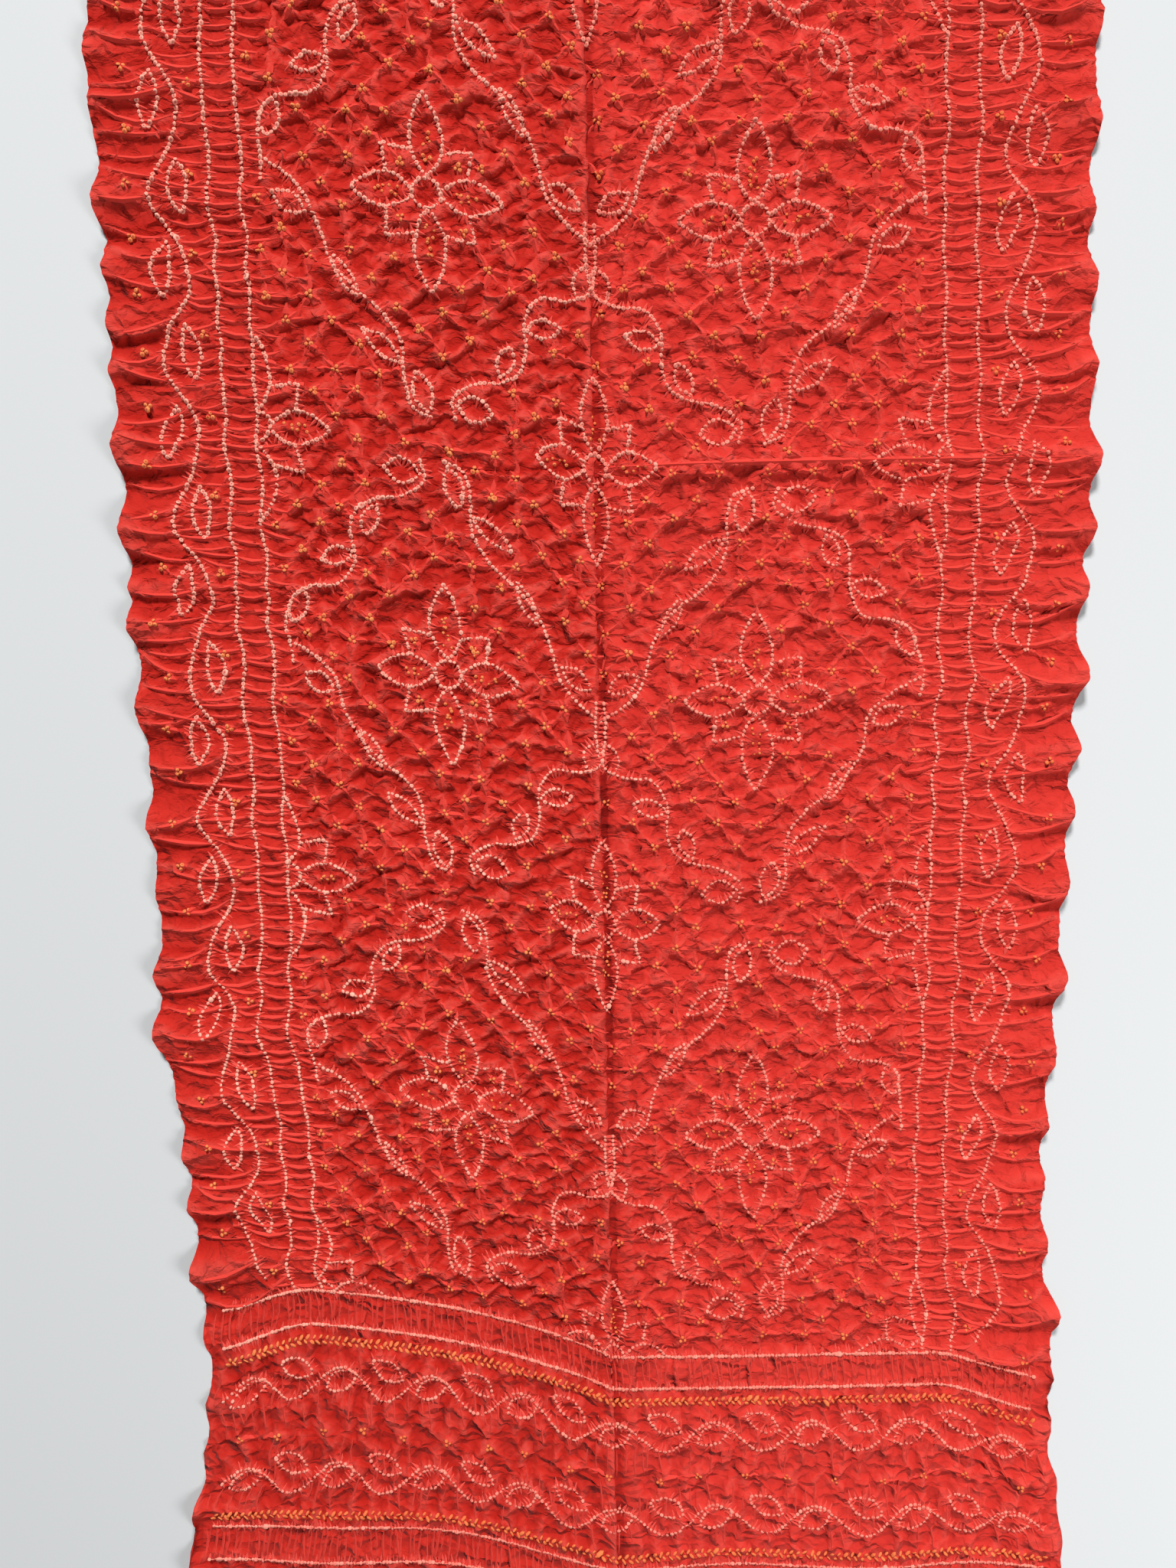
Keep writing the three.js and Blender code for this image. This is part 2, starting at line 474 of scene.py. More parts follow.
    def dots(self) -> tuple[dict[Knot, Points], Points]:
        """Charts every tied dot.

        Returns:
            The dots of each kind, and the middles of the clusters.
        """
        rng = np.random.default_rng(self.seed)
        pitch = {Knot.LINE: self.line_pitch, Knot.FINE: self.fine_pitch, Knot.PETAL: self.petal_pitch}
        paths: dict[Knot, list[Points]] = {kind: [] for kind in (*pitch, Knot.BRAID)}
        lines, petals = paths[Knot.LINE], paths[Knot.PETAL]
        for side in (-1, 1):
            for row in (-1, 0, 1):
                middle = (side * self.column, row * self.row)
                lines += [path * (-side, 1) + middle for path in self.medallion()]
                petals += [path + middle for path in self.stamens()]
        for middle, low, high in self.junctions():
            narrow = self.crease_narrowing if middle[0] == 0 else 1.0
            for path in self.flower():
                lines += within(path * (narrow, 1) + middle, low, high)
            inner = (np.add(low, self.stamen_clear), np.subtract(high, self.stamen_clear))
            for path in self.stamens():
                petals += within(path + middle, *inner)
        for side in (-1, 1):
            lines += self.side_border(side)
        for end in (-1, 1):
            for kind, drawn in self.end_border(end).items():
                paths[kind] += drawn
        found = {kind: np.vstack([spaced(path, pitch[kind]) for path in paths[kind]]) for kind in pitch}
        found[Knot.BRAID] = np.vstack([self.braid(path) for path in paths[Knot.BRAID]])
        found[Knot.PETAL] = found[Knot.PETAL][rng.random(len(found[Knot.PETAL])) > self.petal_gaps]
        loose = {Knot.FINE: self.loose_fine, Knot.PETAL: self.loose_petal}
        for kind, dots in found.items():
            dots[:, :2] += rng.normal(0.0, self.unevenness, (len(dots), 2)) * loose.get(kind, 1.0)
        middles = self.clusters(np.vstack((found[Knot.LINE], found[Knot.PETAL])), rng)
        angles = np.radians((90, 210, 330))
        trefoil = self.trefoil * np.column_stack((np.cos(angles), np.sin(angles)))
        spins = rng.uniform(0, 120, len(middles))
        placed = np.vstack([turned(trefoil, spin) + place for spin, place in zip(spins, middles)])
        found[Knot.CLUSTER] = np.column_stack((placed, rng.uniform(0, 2 * math.pi, len(placed))))
        return found, middles


@dataclass(frozen=True)
class Crest:
    """One sharp ridge of the drawn-up cloth: its path on the flat pattern, its rise and sag, its half width.

    It is widest where a share called lead of its path is done.
    """

    path: Points
    rise: float
    sag: float
    girth: float
    lead: float = 0.5

    def heights(self) -> Points:
        """How high it stands along its path, lower in the middle where it sags."""
        return self.rise * (1 - self.sag * np.sin(math.pi * np.linspace(0.0, 1.0, len(self.path))))

    def widths(self) -> Points:
        """Finds how wide it is.

        Returns:
            Its half width along its path, which thins to both ends.
        """
        share = np.linspace(0.0, 1.0, len(self.path))
        swell = np.minimum(share / self.lead, (1 - share) / (1 - self.lead))
        return self.girth * (0.12 + 0.88 * np.sin(0.5 * math.pi * swell) ** 0.8)

    def halves(self, rng: np.random.Generator) -> list[Crest]:
        """Its two sharp parts, which fade from each end before they meet.

        Args:
            rng: the seeded source of their lengths.

        Returns:
            One crest from each end.
        """
        parts = []
        for way in (self.path, self.path[::-1]):
            stops = np.linspace(0.0, 1.0, len(way))
            share = np.linspace(0.06, rng.uniform(0.3, 0.5), 5)
            path = np.column_stack([np.interp(share, stops, way[:, axis]) for axis in (0, 1)])
            path[1:-1] += rng.normal(0.0, 0.35, (3, 2))
            parts.append(Crest(path, self.rise, self.sag, self.girth * rng.uniform(1.0, 1.6), 0.3))
        return parts


@dataclass
class CrestChart:
    """Where the drawn-up cloth stands in sharp ridges, in millimetres on the flat pattern.

    A bay is the strip between two posts of a side border: its closest and widest rungs, their slant and rise.
    A gather is a strip of an end border: its two limits, the shortest and longest ridge, the closest and
    widest step from one to the next, and their rise.
    """

    chart: StoleChart
    reach: float = 31.0
    share: float = 0.8
    tie_rise: float = 3.4
    tie_sag: float = 0.5
    border_sag: float = 0.1
    lean: float = 0.16
    tie_rises: Pair = (0.75, 1.1)
    tie_girths: Pair = (0.7, 1.1)
    border_rises: Pair = (0.7, 1.2)
    side_girths: Pair = (0.8, 1.2)
    end_girths: Pair = (0.4, 0.7)
    pucker_share: float = 0.85
    pucker_halves: Pair = (3.0, 6.0)
    pucker_girths: Pair = (0.6, 1.05)
    fold_start: Pair = (7.0, 160.0)
    fold_stop: Pair = (319.0, 158.5)
    fold_bow: float = 0.004
    fold_girth: float = 1.3
    seed: int = 23
    bays: tuple[tuple[float, ...], ...] = (
        (7.0, 13.0, 6.0, 1.9), (5.5, 12.0, 3.5, 1.9), (6.5, 14.0, 7.0, 1.9), (10.0, 24.0, 12.0, 3.2),
    )
    gathers: tuple[tuple[float, ...], ...] = (
        (0.5, 25.5, 22.0, 25.0, 3.6, 6.5, 0.9), (42.0, 98.0, 16.0, 36.0, 5.0, 9.0, 1.4),
        (100.0, 162.0, 16.0, 36.0, 5.0, 9.0, 1.4), (176.5, 201.5, 22.0, 25.0, 3.6, 6.5, 0.9),
        (206.0, 262.0, 16.0, 40.0, 5.0, 9.0, 1.4),
    )

    def between_ties(self, middles: Points, dots: Points, rng: np.random.Generator) -> list[Crest]:
        """The ridges that run from each cluster to its neighbours and to the nearest dots of the motifs.

        Args:
            middles: the clusters' middles.
            dots: the motifs' dots.
            rng: the seeded choice of which ridges form.

        Returns:
            The ridges.
        """
        found = []
        for index, start in enumerate(middles):
            gaps = np.linalg.norm(middles - start, axis=1)
            ties = [other for other in np.argsort(gaps)[1:7] if other > index and gaps[other] < self.reach]
            drawn = np.linalg.norm(dots - start, axis=1)
            knots = [other for other in np.argsort(drawn)[:30:10] if drawn[other] < 0.6 * self.reach]
            near = [*middles[ties], *dots[knots]]
            for stop in near:
                if rng.random() < self.share:
                    path = bowed(start, stop, rng.uniform(-0.1, 0.1), 6)
                    rise = rng.uniform(*self.tie_rises) * self.tie_rise
                    found.append(Crest(path, rise, self.tie_sag, rng.uniform(*self.tie_girths)))
        return found

    def posts(self, along: float) -> tuple[float, ...]:
        """Finds where the rungs of a side border end.

        Args:
            along: the place along the cloth.

        Returns:
            How far out they end there, from the field to the edge.
        """
        chart = self.chart
        lines = (chart.inner_line - 20, chart.inner_line, chart.outer_line)
        return *lines, float(chart.vine(along)), chart.half_width - 4

    def sides(self, rng: np.random.Generator) -> list[Crest]:
        """The ladders of ridges up each side border, and those that run out to the edge.

        Args:
            rng: the seeded source of their unevenness.

        Returns:
            The ridges.
        """
        found = []
        end = self.chart.first_line - 6
        for side in (-1, 1):
            for bay, (close, wide, slant, rise) in enumerate(self.bays):
                along = -end
                while along < end:
                    near, far = self.posts(along)[bay : bay + 2]
                    start = np.array((side * near, along))
                    stop = np.array((side * far, along + rng.uniform(-slant, slant)))
                    path = bowed(start, stop, -side * rng.uniform(0.03, 0.16), 5)
                    height = rise * rng.uniform(*self.border_rises)
                    found.append(Crest(path, height, self.border_sag, rng.uniform(*self.side_girths)))
                    along += rng.uniform(close, wide)
        return found

    def ends(self, rng: np.random.Generator) -> list[Crest]:
        """The upright ridges of the end borders, close in the gathered bands.

        Args:
            rng: the seeded source of their unevenness.

        Returns:
            The ridges.
        """
        found = []
        reach = self.chart.half_width - 8
        for end in (-1, 1):
            for low, high, shortest, longest, close, wide, rise in self.gathers:
                across = -reach
                while across < reach:
                    first = rng.uniform(low, high - shortest)
                    last = min(first + rng.uniform(shortest, longest), high)
                    lean = self.lean * (last - first) * rng.uniform(-1.0, 1.0)
                    start = np.array((across, end * (self.chart.first_line + first)))
                    stop = np.array((across + lean, end * (self.chart.first_line + last)))
                    path = bowed(start, stop, rng.uniform(-0.05, 0.05), 5)
                    height = rise * rng.uniform(*self.border_rises)
                    found.append(Crest(path, height, self.border_sag, rng.uniform(*self.end_girths)))
                    across += rng.uniform(close, wide)
        return found

    def crests(self, middles: Points, dots: Points) -> list[Crest]:
        """Every ridge that the cloth settles round, by the clusters' middles and the motifs' dots."""
        rng = np.random.default_rng(self.seed)
        return self.between_ties(middles, dots, rng) + self.borders()

    def borders(self) -> list[Crest]:
        """The ridges of the side and end borders."""
        rng = np.random.default_rng(self.seed + 2)
        return self.sides(rng) + self.ends(rng)

    def sharp(self, middles: Points, dots: Points) -> list[Crest]:
        """The sharp parts of the ridges, which are swept on the cloth.

        Args:
            middles: the clusters' middles.
            dots: the motifs' dots.

        Returns:
            The sharp parts.
        """
        rng = np.random.default_rng(self.seed)
        ties = self.between_ties(middles, dots, rng)
        line = bowed(np.array(self.fold_start), np.array(self.fold_stop), self.fold_bow, 60)
        fold = Crest(line, 0.0, 0.0, self.fold_girth)
        return [half for crest in ties for half in crest.halves(rng)] + self.borders() + [fold]

    def puckers(self, dots: Points) -> list[Crest]:
        """The short pleats that the ties draw across the dotted lines.

        Args:
            dots: the dots of the lines, with their headings.

        Returns:
            The pleats.
        """
        rng = np.random.default_rng(self.seed + 1)
        found = []
        for across, along, heading in dots:
            angle = heading + 0.5 * math.pi + rng.uniform(-0.3, 0.3)
            way = np.array((math.cos(angle), math.sin(angle)))
            middle = np.array((across, along)) + rng.uniform(-1.5, 1.5) * way
            half = rng.uniform(*self.pucker_halves) * way
            if abs(across) < self.chart.half_width - 8 and rng.random() < self.pucker_share:
                path = bowed(middle - half, middle + half, 0.0, 3)
                found.append(Crest(path, 0.0, 0.0, rng.uniform(*self.pucker_girths)))
        return found


@dataclass
class Lay:
    """How the flat pattern lies on the floor: the solid's outline and folds, and the pattern's own drift."""

    node: Object
    chart: StoleChart
    crease: Pair = (-6.9, -11.04)
    drift_along: tuple[float, ...] = (-762, -650, -490, -300, 0, 450, 762)
    drift_rise: tuple[float, ...] = (44, 58, 75, 61, 44, 42, 30)
    drift_reach: float = 150.0
    hem_wave: float = 5.0
    hem_wave_length: float = 210.0
    droop: float = 24.0
    droop_along: Triple = (430.0, 505.0, 520.0)
    droop_out: float = 235.0
    drawn_in: Pair = (0.985, 0.996)
    sheet: float = 1.5
    levels: Points = field(init=False)
    left: Points = field(init=False)
    right: Points = field(init=False)
    tree: BVHTree = field(init=False)

    def __post_init__(self) -> None:
        """Reads the solid's outline at close levels along the cloth, in millimetres."""
        mesh = self.node.data
        corners = np.empty(len(mesh.vertices) * 3)
        mesh.vertices.foreach_get("co", corners)
        corners = corners.reshape(-1, 3) / MM
        edges = np.empty(len(mesh.edges) * 2, int)
        mesh.edges.foreach_get("vertices", edges)
        start, stop = corners[edges.reshape(-1, 2)].transpose(1, 0, 2)
        self.levels = np.arange(corners[:, 1].min() + 1, corners[:, 1].max() - 1, 3.0)
        reach = []
        for level in self.levels:
            cut = (start[:, 1] - level) * (stop[:, 1] - level) < 0
            share = (level - start[cut, 1]) / (stop[cut, 1] - start[cut, 1])
            at = start[cut, 0] + share * (stop[cut, 0] - start[cut, 0])
            reach.append((at.min(), at.max()))
        self.left, self.right = (self.carried_on(side) for side in np.array(reach).T)
        self.tree = BVHTree.FromPolygons(corners.tolist(), [tuple(face.vertices) for face in mesh.polygons])

    @staticmethod
    def carried_on(side: Points) -> Points:
        """Calms an edge unevenly, and carries it straight on where the slanted hem narrows the outline.

        Args:
            side: how far out the edge lies at each level.

        Returns:
            The edge, with each ruffle from a third to the whole of its reach.
        """
        level = np.arange(len(side))
        full = np.flatnonzero(np.abs(side) > 0.93 * np.median(np.abs(side)))
        side = side[np.clip(level, full[0] + 2, full[-1] - 2)]
        spread = 20
        window = 2 * spread + 1
        around = np.convolve(np.pad(side, spread, mode="edge"), np.full(window, 1 / window), "valid")
        kept = 0.62 + 0.3 * np.sin(level / 13.0 + 1.7 * np.sin(level / 31.0))
        return around + kept * (side - around)

    def rise(self, along: Points) -> Points:
        """Finds how far the left half has drifted up.

        Args:
            along: places along the cloth.

        Returns:
            The drift at each.
        """
        stops, rises = np.array(self.drift_along), np.array(self.drift_rise)
        at = np.clip(np.searchsorted(stops, along) - 1, 0, len(stops) - 2)
        share = np.clip((along - stops[at]) / (stops[at + 1] - stops[at]), 0.0, 1.0)
        return rises[at] + (rises[at + 1] - rises[at]) * share * share * (3 - 2 * share)

    def place(self, flat: Points) -> Points:
        """Where points of the flat pattern lie in the part's frame.

        Args:
            flat: pattern points, millimetres across and along.

        Returns:
            The same points as they lie, in millimetres.
        """
        across, along = flat[..., 0], flat[..., 1]
        hem = self.chart.hem
        fade = 1 - np.exp(np.minimum(across, 0) / self.drift_reach)
        drift = np.where(across < 0, self.rise(along) * fade, 0.0)
        turn = 2 * math.pi * across / self.hem_wave_length + along / hem
        drift = drift + self.hem_wave * eased(np.abs(along), self.chart.first_line, hem) * np.sin(turn)
        start, full, back = self.droop_along
        sag = self.droop * eased(-along, start, full) * (1 - eased(-along, back, hem))
        drift = drift - sag * eased(np.abs(across), self.droop_out, self.chart.half_width)
        lain_along = along + drift + self.crease[1]
        left = np.interp(lain_along, self.levels, self.left) - self.crease[0]
        right = np.interp(lain_along, self.levels, self.right) - self.crease[0]
        share = across / self.chart.half_width
        lain_across = np.where(share < 0, -share * left, share * right) + self.crease[0]
        return np.stack((lain_across, lain_along), axis=-1)

    def heights(self, lain: Points) -> Points:
        """Finds how high the solid's folds stand.

        Args:
            lain: points as they lie, in millimetres.

        Returns:
            The height at each, in millimetres.
        """
        flat = lain.reshape(-1, 2) * self.drawn_in
        down = Vector((0, 0, -1))
        found = np.full(len(flat), self.sheet)
        for index, (across, along) in enumerate(flat):
            hit = self.tree.ray_cast(Vector((across, along, 100.0)), down)[0]
            if hit is not None:
                found[index] = hit.z
        return found.reshape(lain.shape[:-1])


@dataclass
class CrinkledCloth:
    """The one length of cotton: drawn up by its ties into ridges, and settled on the floor by relaxation."""

    chart: StoleChart
    lay: Lay
    columns: int = 383
    close_rows: float = 1.55
    far_rows: float = 3.4
    close_from: float = -704.0
    close_to: float = 470.0
    most_triangles: int = 197000
    iterations: int = 100
    bend: float = 0.03
    damping: float = 0.85
    fall: float = 0.003
    fastest: float = 0.5
    floor: float = 0.3
    under_top: float = 1.2
    most_rise: float = 5.5
    rim_rows: int = 4
    rim_hold: float = 0.3
    ridge_hold: float = 0.3
    tie_hold: float = 0.45
    hem_depth: Pair = (22.0, 8.0)
    relief_scale: float = 1.6
    seed: int = 11
    flat_size: Pair = (0.74, 1.84)
    cross_crease: float = 149.0
    crease_rise: float = 2.2
    crease_floor: float = 0.5
    # The lengthwise crease across the pattern: its brink, the bank beyond it and its valley.
    crease_bands: tuple[Pair, ...] = ((-4.5, -1.4), (6.0, 16.0), (-0.6, 4.0))
    # Spare length in the field, the ladders, the margins, the ends and the gathered bands.
    spare_across: tuple[float, ...] = (0.16, 0.02, 0.05, 0.16, 0.14)
    spare_along: tuple[float, ...] = (0.24, 0.26, 0.20, 0.10, -0.06)
    # How high each kind of tie stands over the cloth's lie, in the order of tying.
    lifts: dict[Knot, float] = field(default_factory=lambda: {
        Knot.LINE: 1.9, Knot.CLUSTER: 3.4, Knot.FINE: 1.2, Knot.PETAL: 1.9, Knot.BRAID: 1.2,
    })
    # Painted shadows along the folds, dark strips in the colour: the middle across the pattern, half width,
    # limits along, depth.
    crease_shadow_marks: tuple[tuple[float, ...], ...] = (
        (2.6, 3.2, -790.0, 790.0, 0.75), (2.2, 4.2, -250.0, 60.0, 0.75), (-69.0, 7.0, 100.0, 210.0, 0.45),
        (28.0, 4.0, 80.0, 240.0, 0.5), (135.0, 5.0, 105.0, 205.0, 0.4), (-20.0, 10.0, 139.0, 177.0, 0.7),
        (-115.0, 112.0, 144.0, 154.0, 0.7), (125.0, 118.0, 139.0, 148.0, 0.6),
    )
    across: Points = field(init=False)
    along: Points = field(init=False)
    flat: Points = field(init=False)
    home: Points = field(init=False)
    base: Points = field(init=False)
    tied: Points = field(init=False)
    lift: Points = field(init=False)
    solved: Points = field(init=False)

    def __post_init__(self) -> None:
        """Lays out the sheet's rows and columns, finer where the pattern is looked at closely."""
        chart = self.chart
        self.across = np.linspace(-chart.half_width, chart.half_width, self.columns)
        self.along = np.concatenate((
            np.arange(-chart.hem, self.close_from, self.far_rows),
            np.arange(self.close_from, self.close_to, self.close_rows),
            np.arange(self.close_to, chart.hem, self.far_rows),
            (chart.hem,),
        ))
        self.flat = np.stack(np.meshgrid(self.across, self.along), axis=-1)

    def jitter(self, rng: np.random.Generator) -> None:
        """Moves the inner points a little, so that no ridge follows the rows and columns."""
        step = np.array((self.across[1] - self.across[0], self.close_rows))
        self.flat[1:-1, 1:-1] += rng.uniform(-0.2, 0.2, self.flat[1:-1, 1:-1].shape) * step

    def tie(self, dots: Points, lift: float) -> None:
        """Takes the nearest point of the sheet to each dot and ties it there.

        Args:
            dots: the dots on the flat pattern.
            lift: how high the ties stand over the cloth's lie.
        """
        step = self.across[1] - self.across[0]
        column = np.clip(np.rint((dots[:, 0] - self.across[0]) / step).astype(int), 0, self.columns - 1)
        row = np.clip(np.searchsorted(self.along, dots[:, 1]), 1, len(self.along) - 1)
        nearer = np.abs(self.along[row - 1] - dots[:, 1]) < np.abs(self.along[row] - dots[:, 1])
        row = np.where(nearer, row - 1, row)
        free = self.tied[row, column] == 0
        self.flat[row[free], column[free]] = dots[free, :2]
        self.tied[row[free], column[free]] = 1.0
        self.lift[row[free], column[free]] = lift

    def waves(self, rng: np.random.Generator, across: float, along: float) -> Points:
        """Seeded waves over the sheet.

        Args:
            rng: the seeded source.
            across: their length across the cloth.
            along: their length along it.

        Returns:
            The waves, of unit strength.
        """
        rows, columns = self.tied.shape
        along_rate = np.fft.fftfreq(rows, self.close_rows)[:, None]
        across_rate = np.fft.fftfreq(columns, self.across[1] - self.across[0])[None]
        ratio = np.hypot(across_rate * across, along_rate * along)
        spectrum = np.fft.fft2(rng.standard_normal((rows, columns))) * np.exp(-(((ratio - 1) / 0.45) ** 2))
        made = np.fft.ifft2(spectrum).real
        return made / made.std()

    def ridges(self, crests: list[Crest]) -> tuple[Points, Points]:
        """Marks the sheet's points that stand on a ridge.

        Args:
            crests: the ridges on the flat pattern.

        Returns:
            How firmly each point of the sheet is held on a ridge, and the ridge's height there.
        """
        held = np.zeros(self.tied.shape)
        height = np.zeros(self.tied.shape)
        step = self.across[1] - self.across[0]
        share = np.linspace(0.0, 1.0, 48)
        for crest in crests:
            stops = np.linspace(0.0, 1.0, len(crest.path))
            across, along = (np.interp(share, stops, crest.path[:, axis]) for axis in (0, 1))
            column = np.clip(np.rint((across - self.across[0]) / step).astype(int), 0, self.columns - 1)
            row = np.clip(np.searchsorted(self.along, along - 0.5 * self.close_rows), 0, len(self.along) - 1)
            held[row, column] = self.ridge_hold
            height[row, column] = np.maximum(height[row, column], np.interp(share, stops, crest.heights()))
        return held, height

    def zones(self) -> tuple[Points, Points, Points, Points]:
        """Divides the sheet into its zones.

        Returns:
            How much each point belongs to the field, the side ladders, the margins and the ends.
        """
        chart = self.chart
        out, far = np.abs(self.flat[..., 0]), np.abs(self.flat[..., 1])
        ends = eased(far, chart.first_line - 12, chart.first_line + 8)
        side = eased(out, chart.inner_line - 14, chart.inner_line + 2)
        beyond = eased(out, chart.outer_line - 1, chart.outer_line + 16)
        return (1 - ends) * (1 - side), (1 - ends) * side * (1 - beyond), (1 - ends) * beyond, ends

    def bands(self) -> Points:
        """Finds the gathered bands between paired cross lines.

        Returns:
            How much each point belongs to them.
        """
        off = np.abs(self.flat[..., 1]) - self.chart.first_line
        lines = self.chart.end_lines
        first = eased(off, lines[0], lines[0] + 3) * (1 - eased(off, lines[1] - 3, lines[1]))
        return first + eased(off, lines[2], lines[2] + 3) * (1 - eased(off, lines[3] - 3, lines[3]))

    @staticmethod
    def draw(first: Points, second: Points, rest: Points, share: float) -> None:
        """Brings linked points towards their rest distance, in place.

        Args:
            first: the points at one end of the links.
            second: those at the other end.
            rest: the links' rest lengths.
            share: how much of the gap is closed.
        """
        gap = second - first
        length = np.sqrt(np.einsum("ijk,ijk->ij", gap, gap)) + np.float32(1e-6)
        move = (np.float32(0.5 * share) * (length - rest) / length)[..., None] * gap
        first += move
        second -= move

    def links(self, stretch: Points) -> list[LinkSet]:
        """The links between neighbouring points, in sets where no point has two links.

        Args:
            stretch: how much longer the cloth is than its lie, across and along, at each point.

        Returns:
            For each set, the slices of its two ends, the rest lengths and the stiffness.
        """
        rows, columns = self.tied.shape
        found = []

        def add(first: Slices, second: Slices, stiffness: float) -> None:
            """Adds one set of links."""
            gap = (self.home[second] - self.home[first]) * 0.5 * (stretch[first] + stretch[second])
            found.append((first, second, np.linalg.norm(gap, axis=-1).astype(np.float32), stiffness))

        for odd in (0, 1):
            stop = odd + (columns - odd) // 2 * 2
            every = slice(None)
            add((every, slice(odd, stop, 2)), (every, slice(odd + 1, stop, 2)), 1.0)
        for odd in (0, 1):
            stop = odd + (rows - odd) // 2 * 2
            upper, lower = slice(odd, stop, 2), slice(odd + 1, stop, 2)
            add((upper, slice(None)), (lower, slice(None)), 1.0)
            add((upper, slice(None, -1)), (lower, slice(1, None)), 0.4)
            add((upper, slice(1, None)), (lower, slice(None, -1)), 0.4)
        return found

    def carried(self, flat: Points) -> Points:
        """How far the settled sheet has moved from its lie at points of the flat pattern.

        Args:
            flat: the points, in millimetres.

        Returns:
            The move across, along and up at each point.
        """
        moved = self.solved - np.concatenate((self.home, self.base[..., None]), axis=-1)
        rows, columns = self.tied.shape
        row = np.clip(np.interp(flat[..., 1], self.along, np.arange(rows)), 0, rows - 1.001)
        column = np.clip(np.interp(flat[..., 0], self.across, np.arange(columns)), 0, columns - 1.001)
        low, left = row.astype(int), column.astype(int)
        up, side = (row - low)[..., None], (column - left)[..., None]
        lower = moved[low, left] * (1 - side) + moved[low, left + 1] * side
        upper = moved[low + 1, left] * (1 - side) + moved[low + 1, left + 1] * side
        return lower * (1 - up) + upper * up

    def relax(self, rough: CrinkledCloth | None = None) -> None:
        """Ties the dots, gives the cloth its spare length and lets it settle into ridges between the ties.

        Args:
            rough: the same cloth settled on a coarser sheet, to start from.
        """
        rng = np.random.default_rng(self.seed)
        dots, middles = self.chart.dots()
        self.tied = np.zeros(self.flat.shape[:2], np.float32)
        self.lift = np.zeros(self.flat.shape[:2])
        self.jitter(rng)
        for kind, lift in self.lifts.items():
            self.tie(dots[kind], lift)
        self.home = self.lay.place(self.flat)
        zones, bands = self.zones(), self.bands()
        ladder, margin = zones[1:3]
        over = self.lay.heights(self.home) - self.under_top
        self.base = np.maximum(over * (1 + 0.5 * margin), self.under_top)
        far, near = self.hem_depth
        hem = eased(np.abs(self.flat[..., 1]), self.chart.hem - far, self.chart.hem - near)
        stretch = np.stack([
            sum((share * zone for share, zone in zip(spare, (*zones, bands))), 1.0)
            for spare in (self.spare_across, self.spare_along)
        ], axis=-1)
        links = self.links(1 + (stretch - 1) * (1 - hem)[..., None])
        held, height = self.ridges(CrestChart(self.chart).crests(middles, dots[Knot.LINE][:, :2]))
        aim = self.base + np.maximum(self.lift, height)
        hold = np.maximum(self.tie_hold * self.tied, held)
        hold = np.maximum(hold, 0.06 * ladder + 0.02 * margin + 0.12 * bands + 0.3 * hem)
        aim, hold = self.creases(aim, hold)
        start = np.concatenate((self.home, self.base[..., None]), axis=-1)
        if rough is None:
            start[..., 2] += 0.6 + 1.5 * self.crinkle(rng, zones, hem) * (1 - self.tied)
        else:
            start += rough.carried(self.flat)
        self.settle(links, start, aim, hold)

    def crinkle(self, rng: np.random.Generator, zones: tuple[Points, ...], hem: Points) -> Points:
        """The first unevenness of the sheet, from which its ridges grow.

        Args:
            rng: the seeded source.
            zones: how much each point belongs to the field, the ladders, the margins and the ends.
            hem: how much it belongs to a hem, which stays plain.

        Returns:
            The unevenness at each point.
        """
        inner, ladder, margin, ends = zones
        steps = np.clip(self.waves(rng, 80.0, 10.5), -1.6, 1.6)
        made = inner * (self.waves(rng, 24.0, 14.0) + 0.5 * self.waves(rng, 9.0, 8.0))
        made += ladder * steps + ends * (1 - hem) * self.waves(rng, 12.0, 40.0)
        made += margin * (0.25 * steps + self.waves(rng, 30.0, 28.0) + 0.5 * self.waves(rng, 13.0, 11.0))
        return made

    def creases(self, aim: Points, hold: Points) -> tuple[Points, Points]:
        """Adds the sharp folds of an earlier folding: one lengthwise and one across.

        Args:
            aim: the heights that points are drawn to.
            hold: how firmly.

        Returns:
            Both, with the creases in them.
        """
        across = self.flat[..., 0]
        out = np.abs(across)
        aim, hold = aim.copy(), hold.copy()
        brink, bank, valley = ((across > low) & (across < high) for low, high in self.crease_bands)
        aim[brink] = self.base[brink] + self.crease_rise
        hold[brink] = self.ridge_hold
        slope = 0.4 + 0.12 * (out[bank] - self.crease_bands[1][0])
        aim[bank] = np.maximum(aim[bank], self.base[bank] + slope)
        hold[bank] = np.maximum(hold[bank], 0.06)
        aim[valley] = self.crease_floor
        hold[valley] = 0.7
        fold = np.abs(self.home[..., 1] - self.cross_crease) < 0.5 * self.close_rows
        right = fold & (across > 8.0) & (out < self.chart.outer_line)
        left = fold & (across < -8.0) & (out < self.chart.inner_line)
        aim[right] = self.base[right] + self.crease_rise
        aim[left] = self.crease_floor
        hold[right | left] = 0.5
        return aim, hold

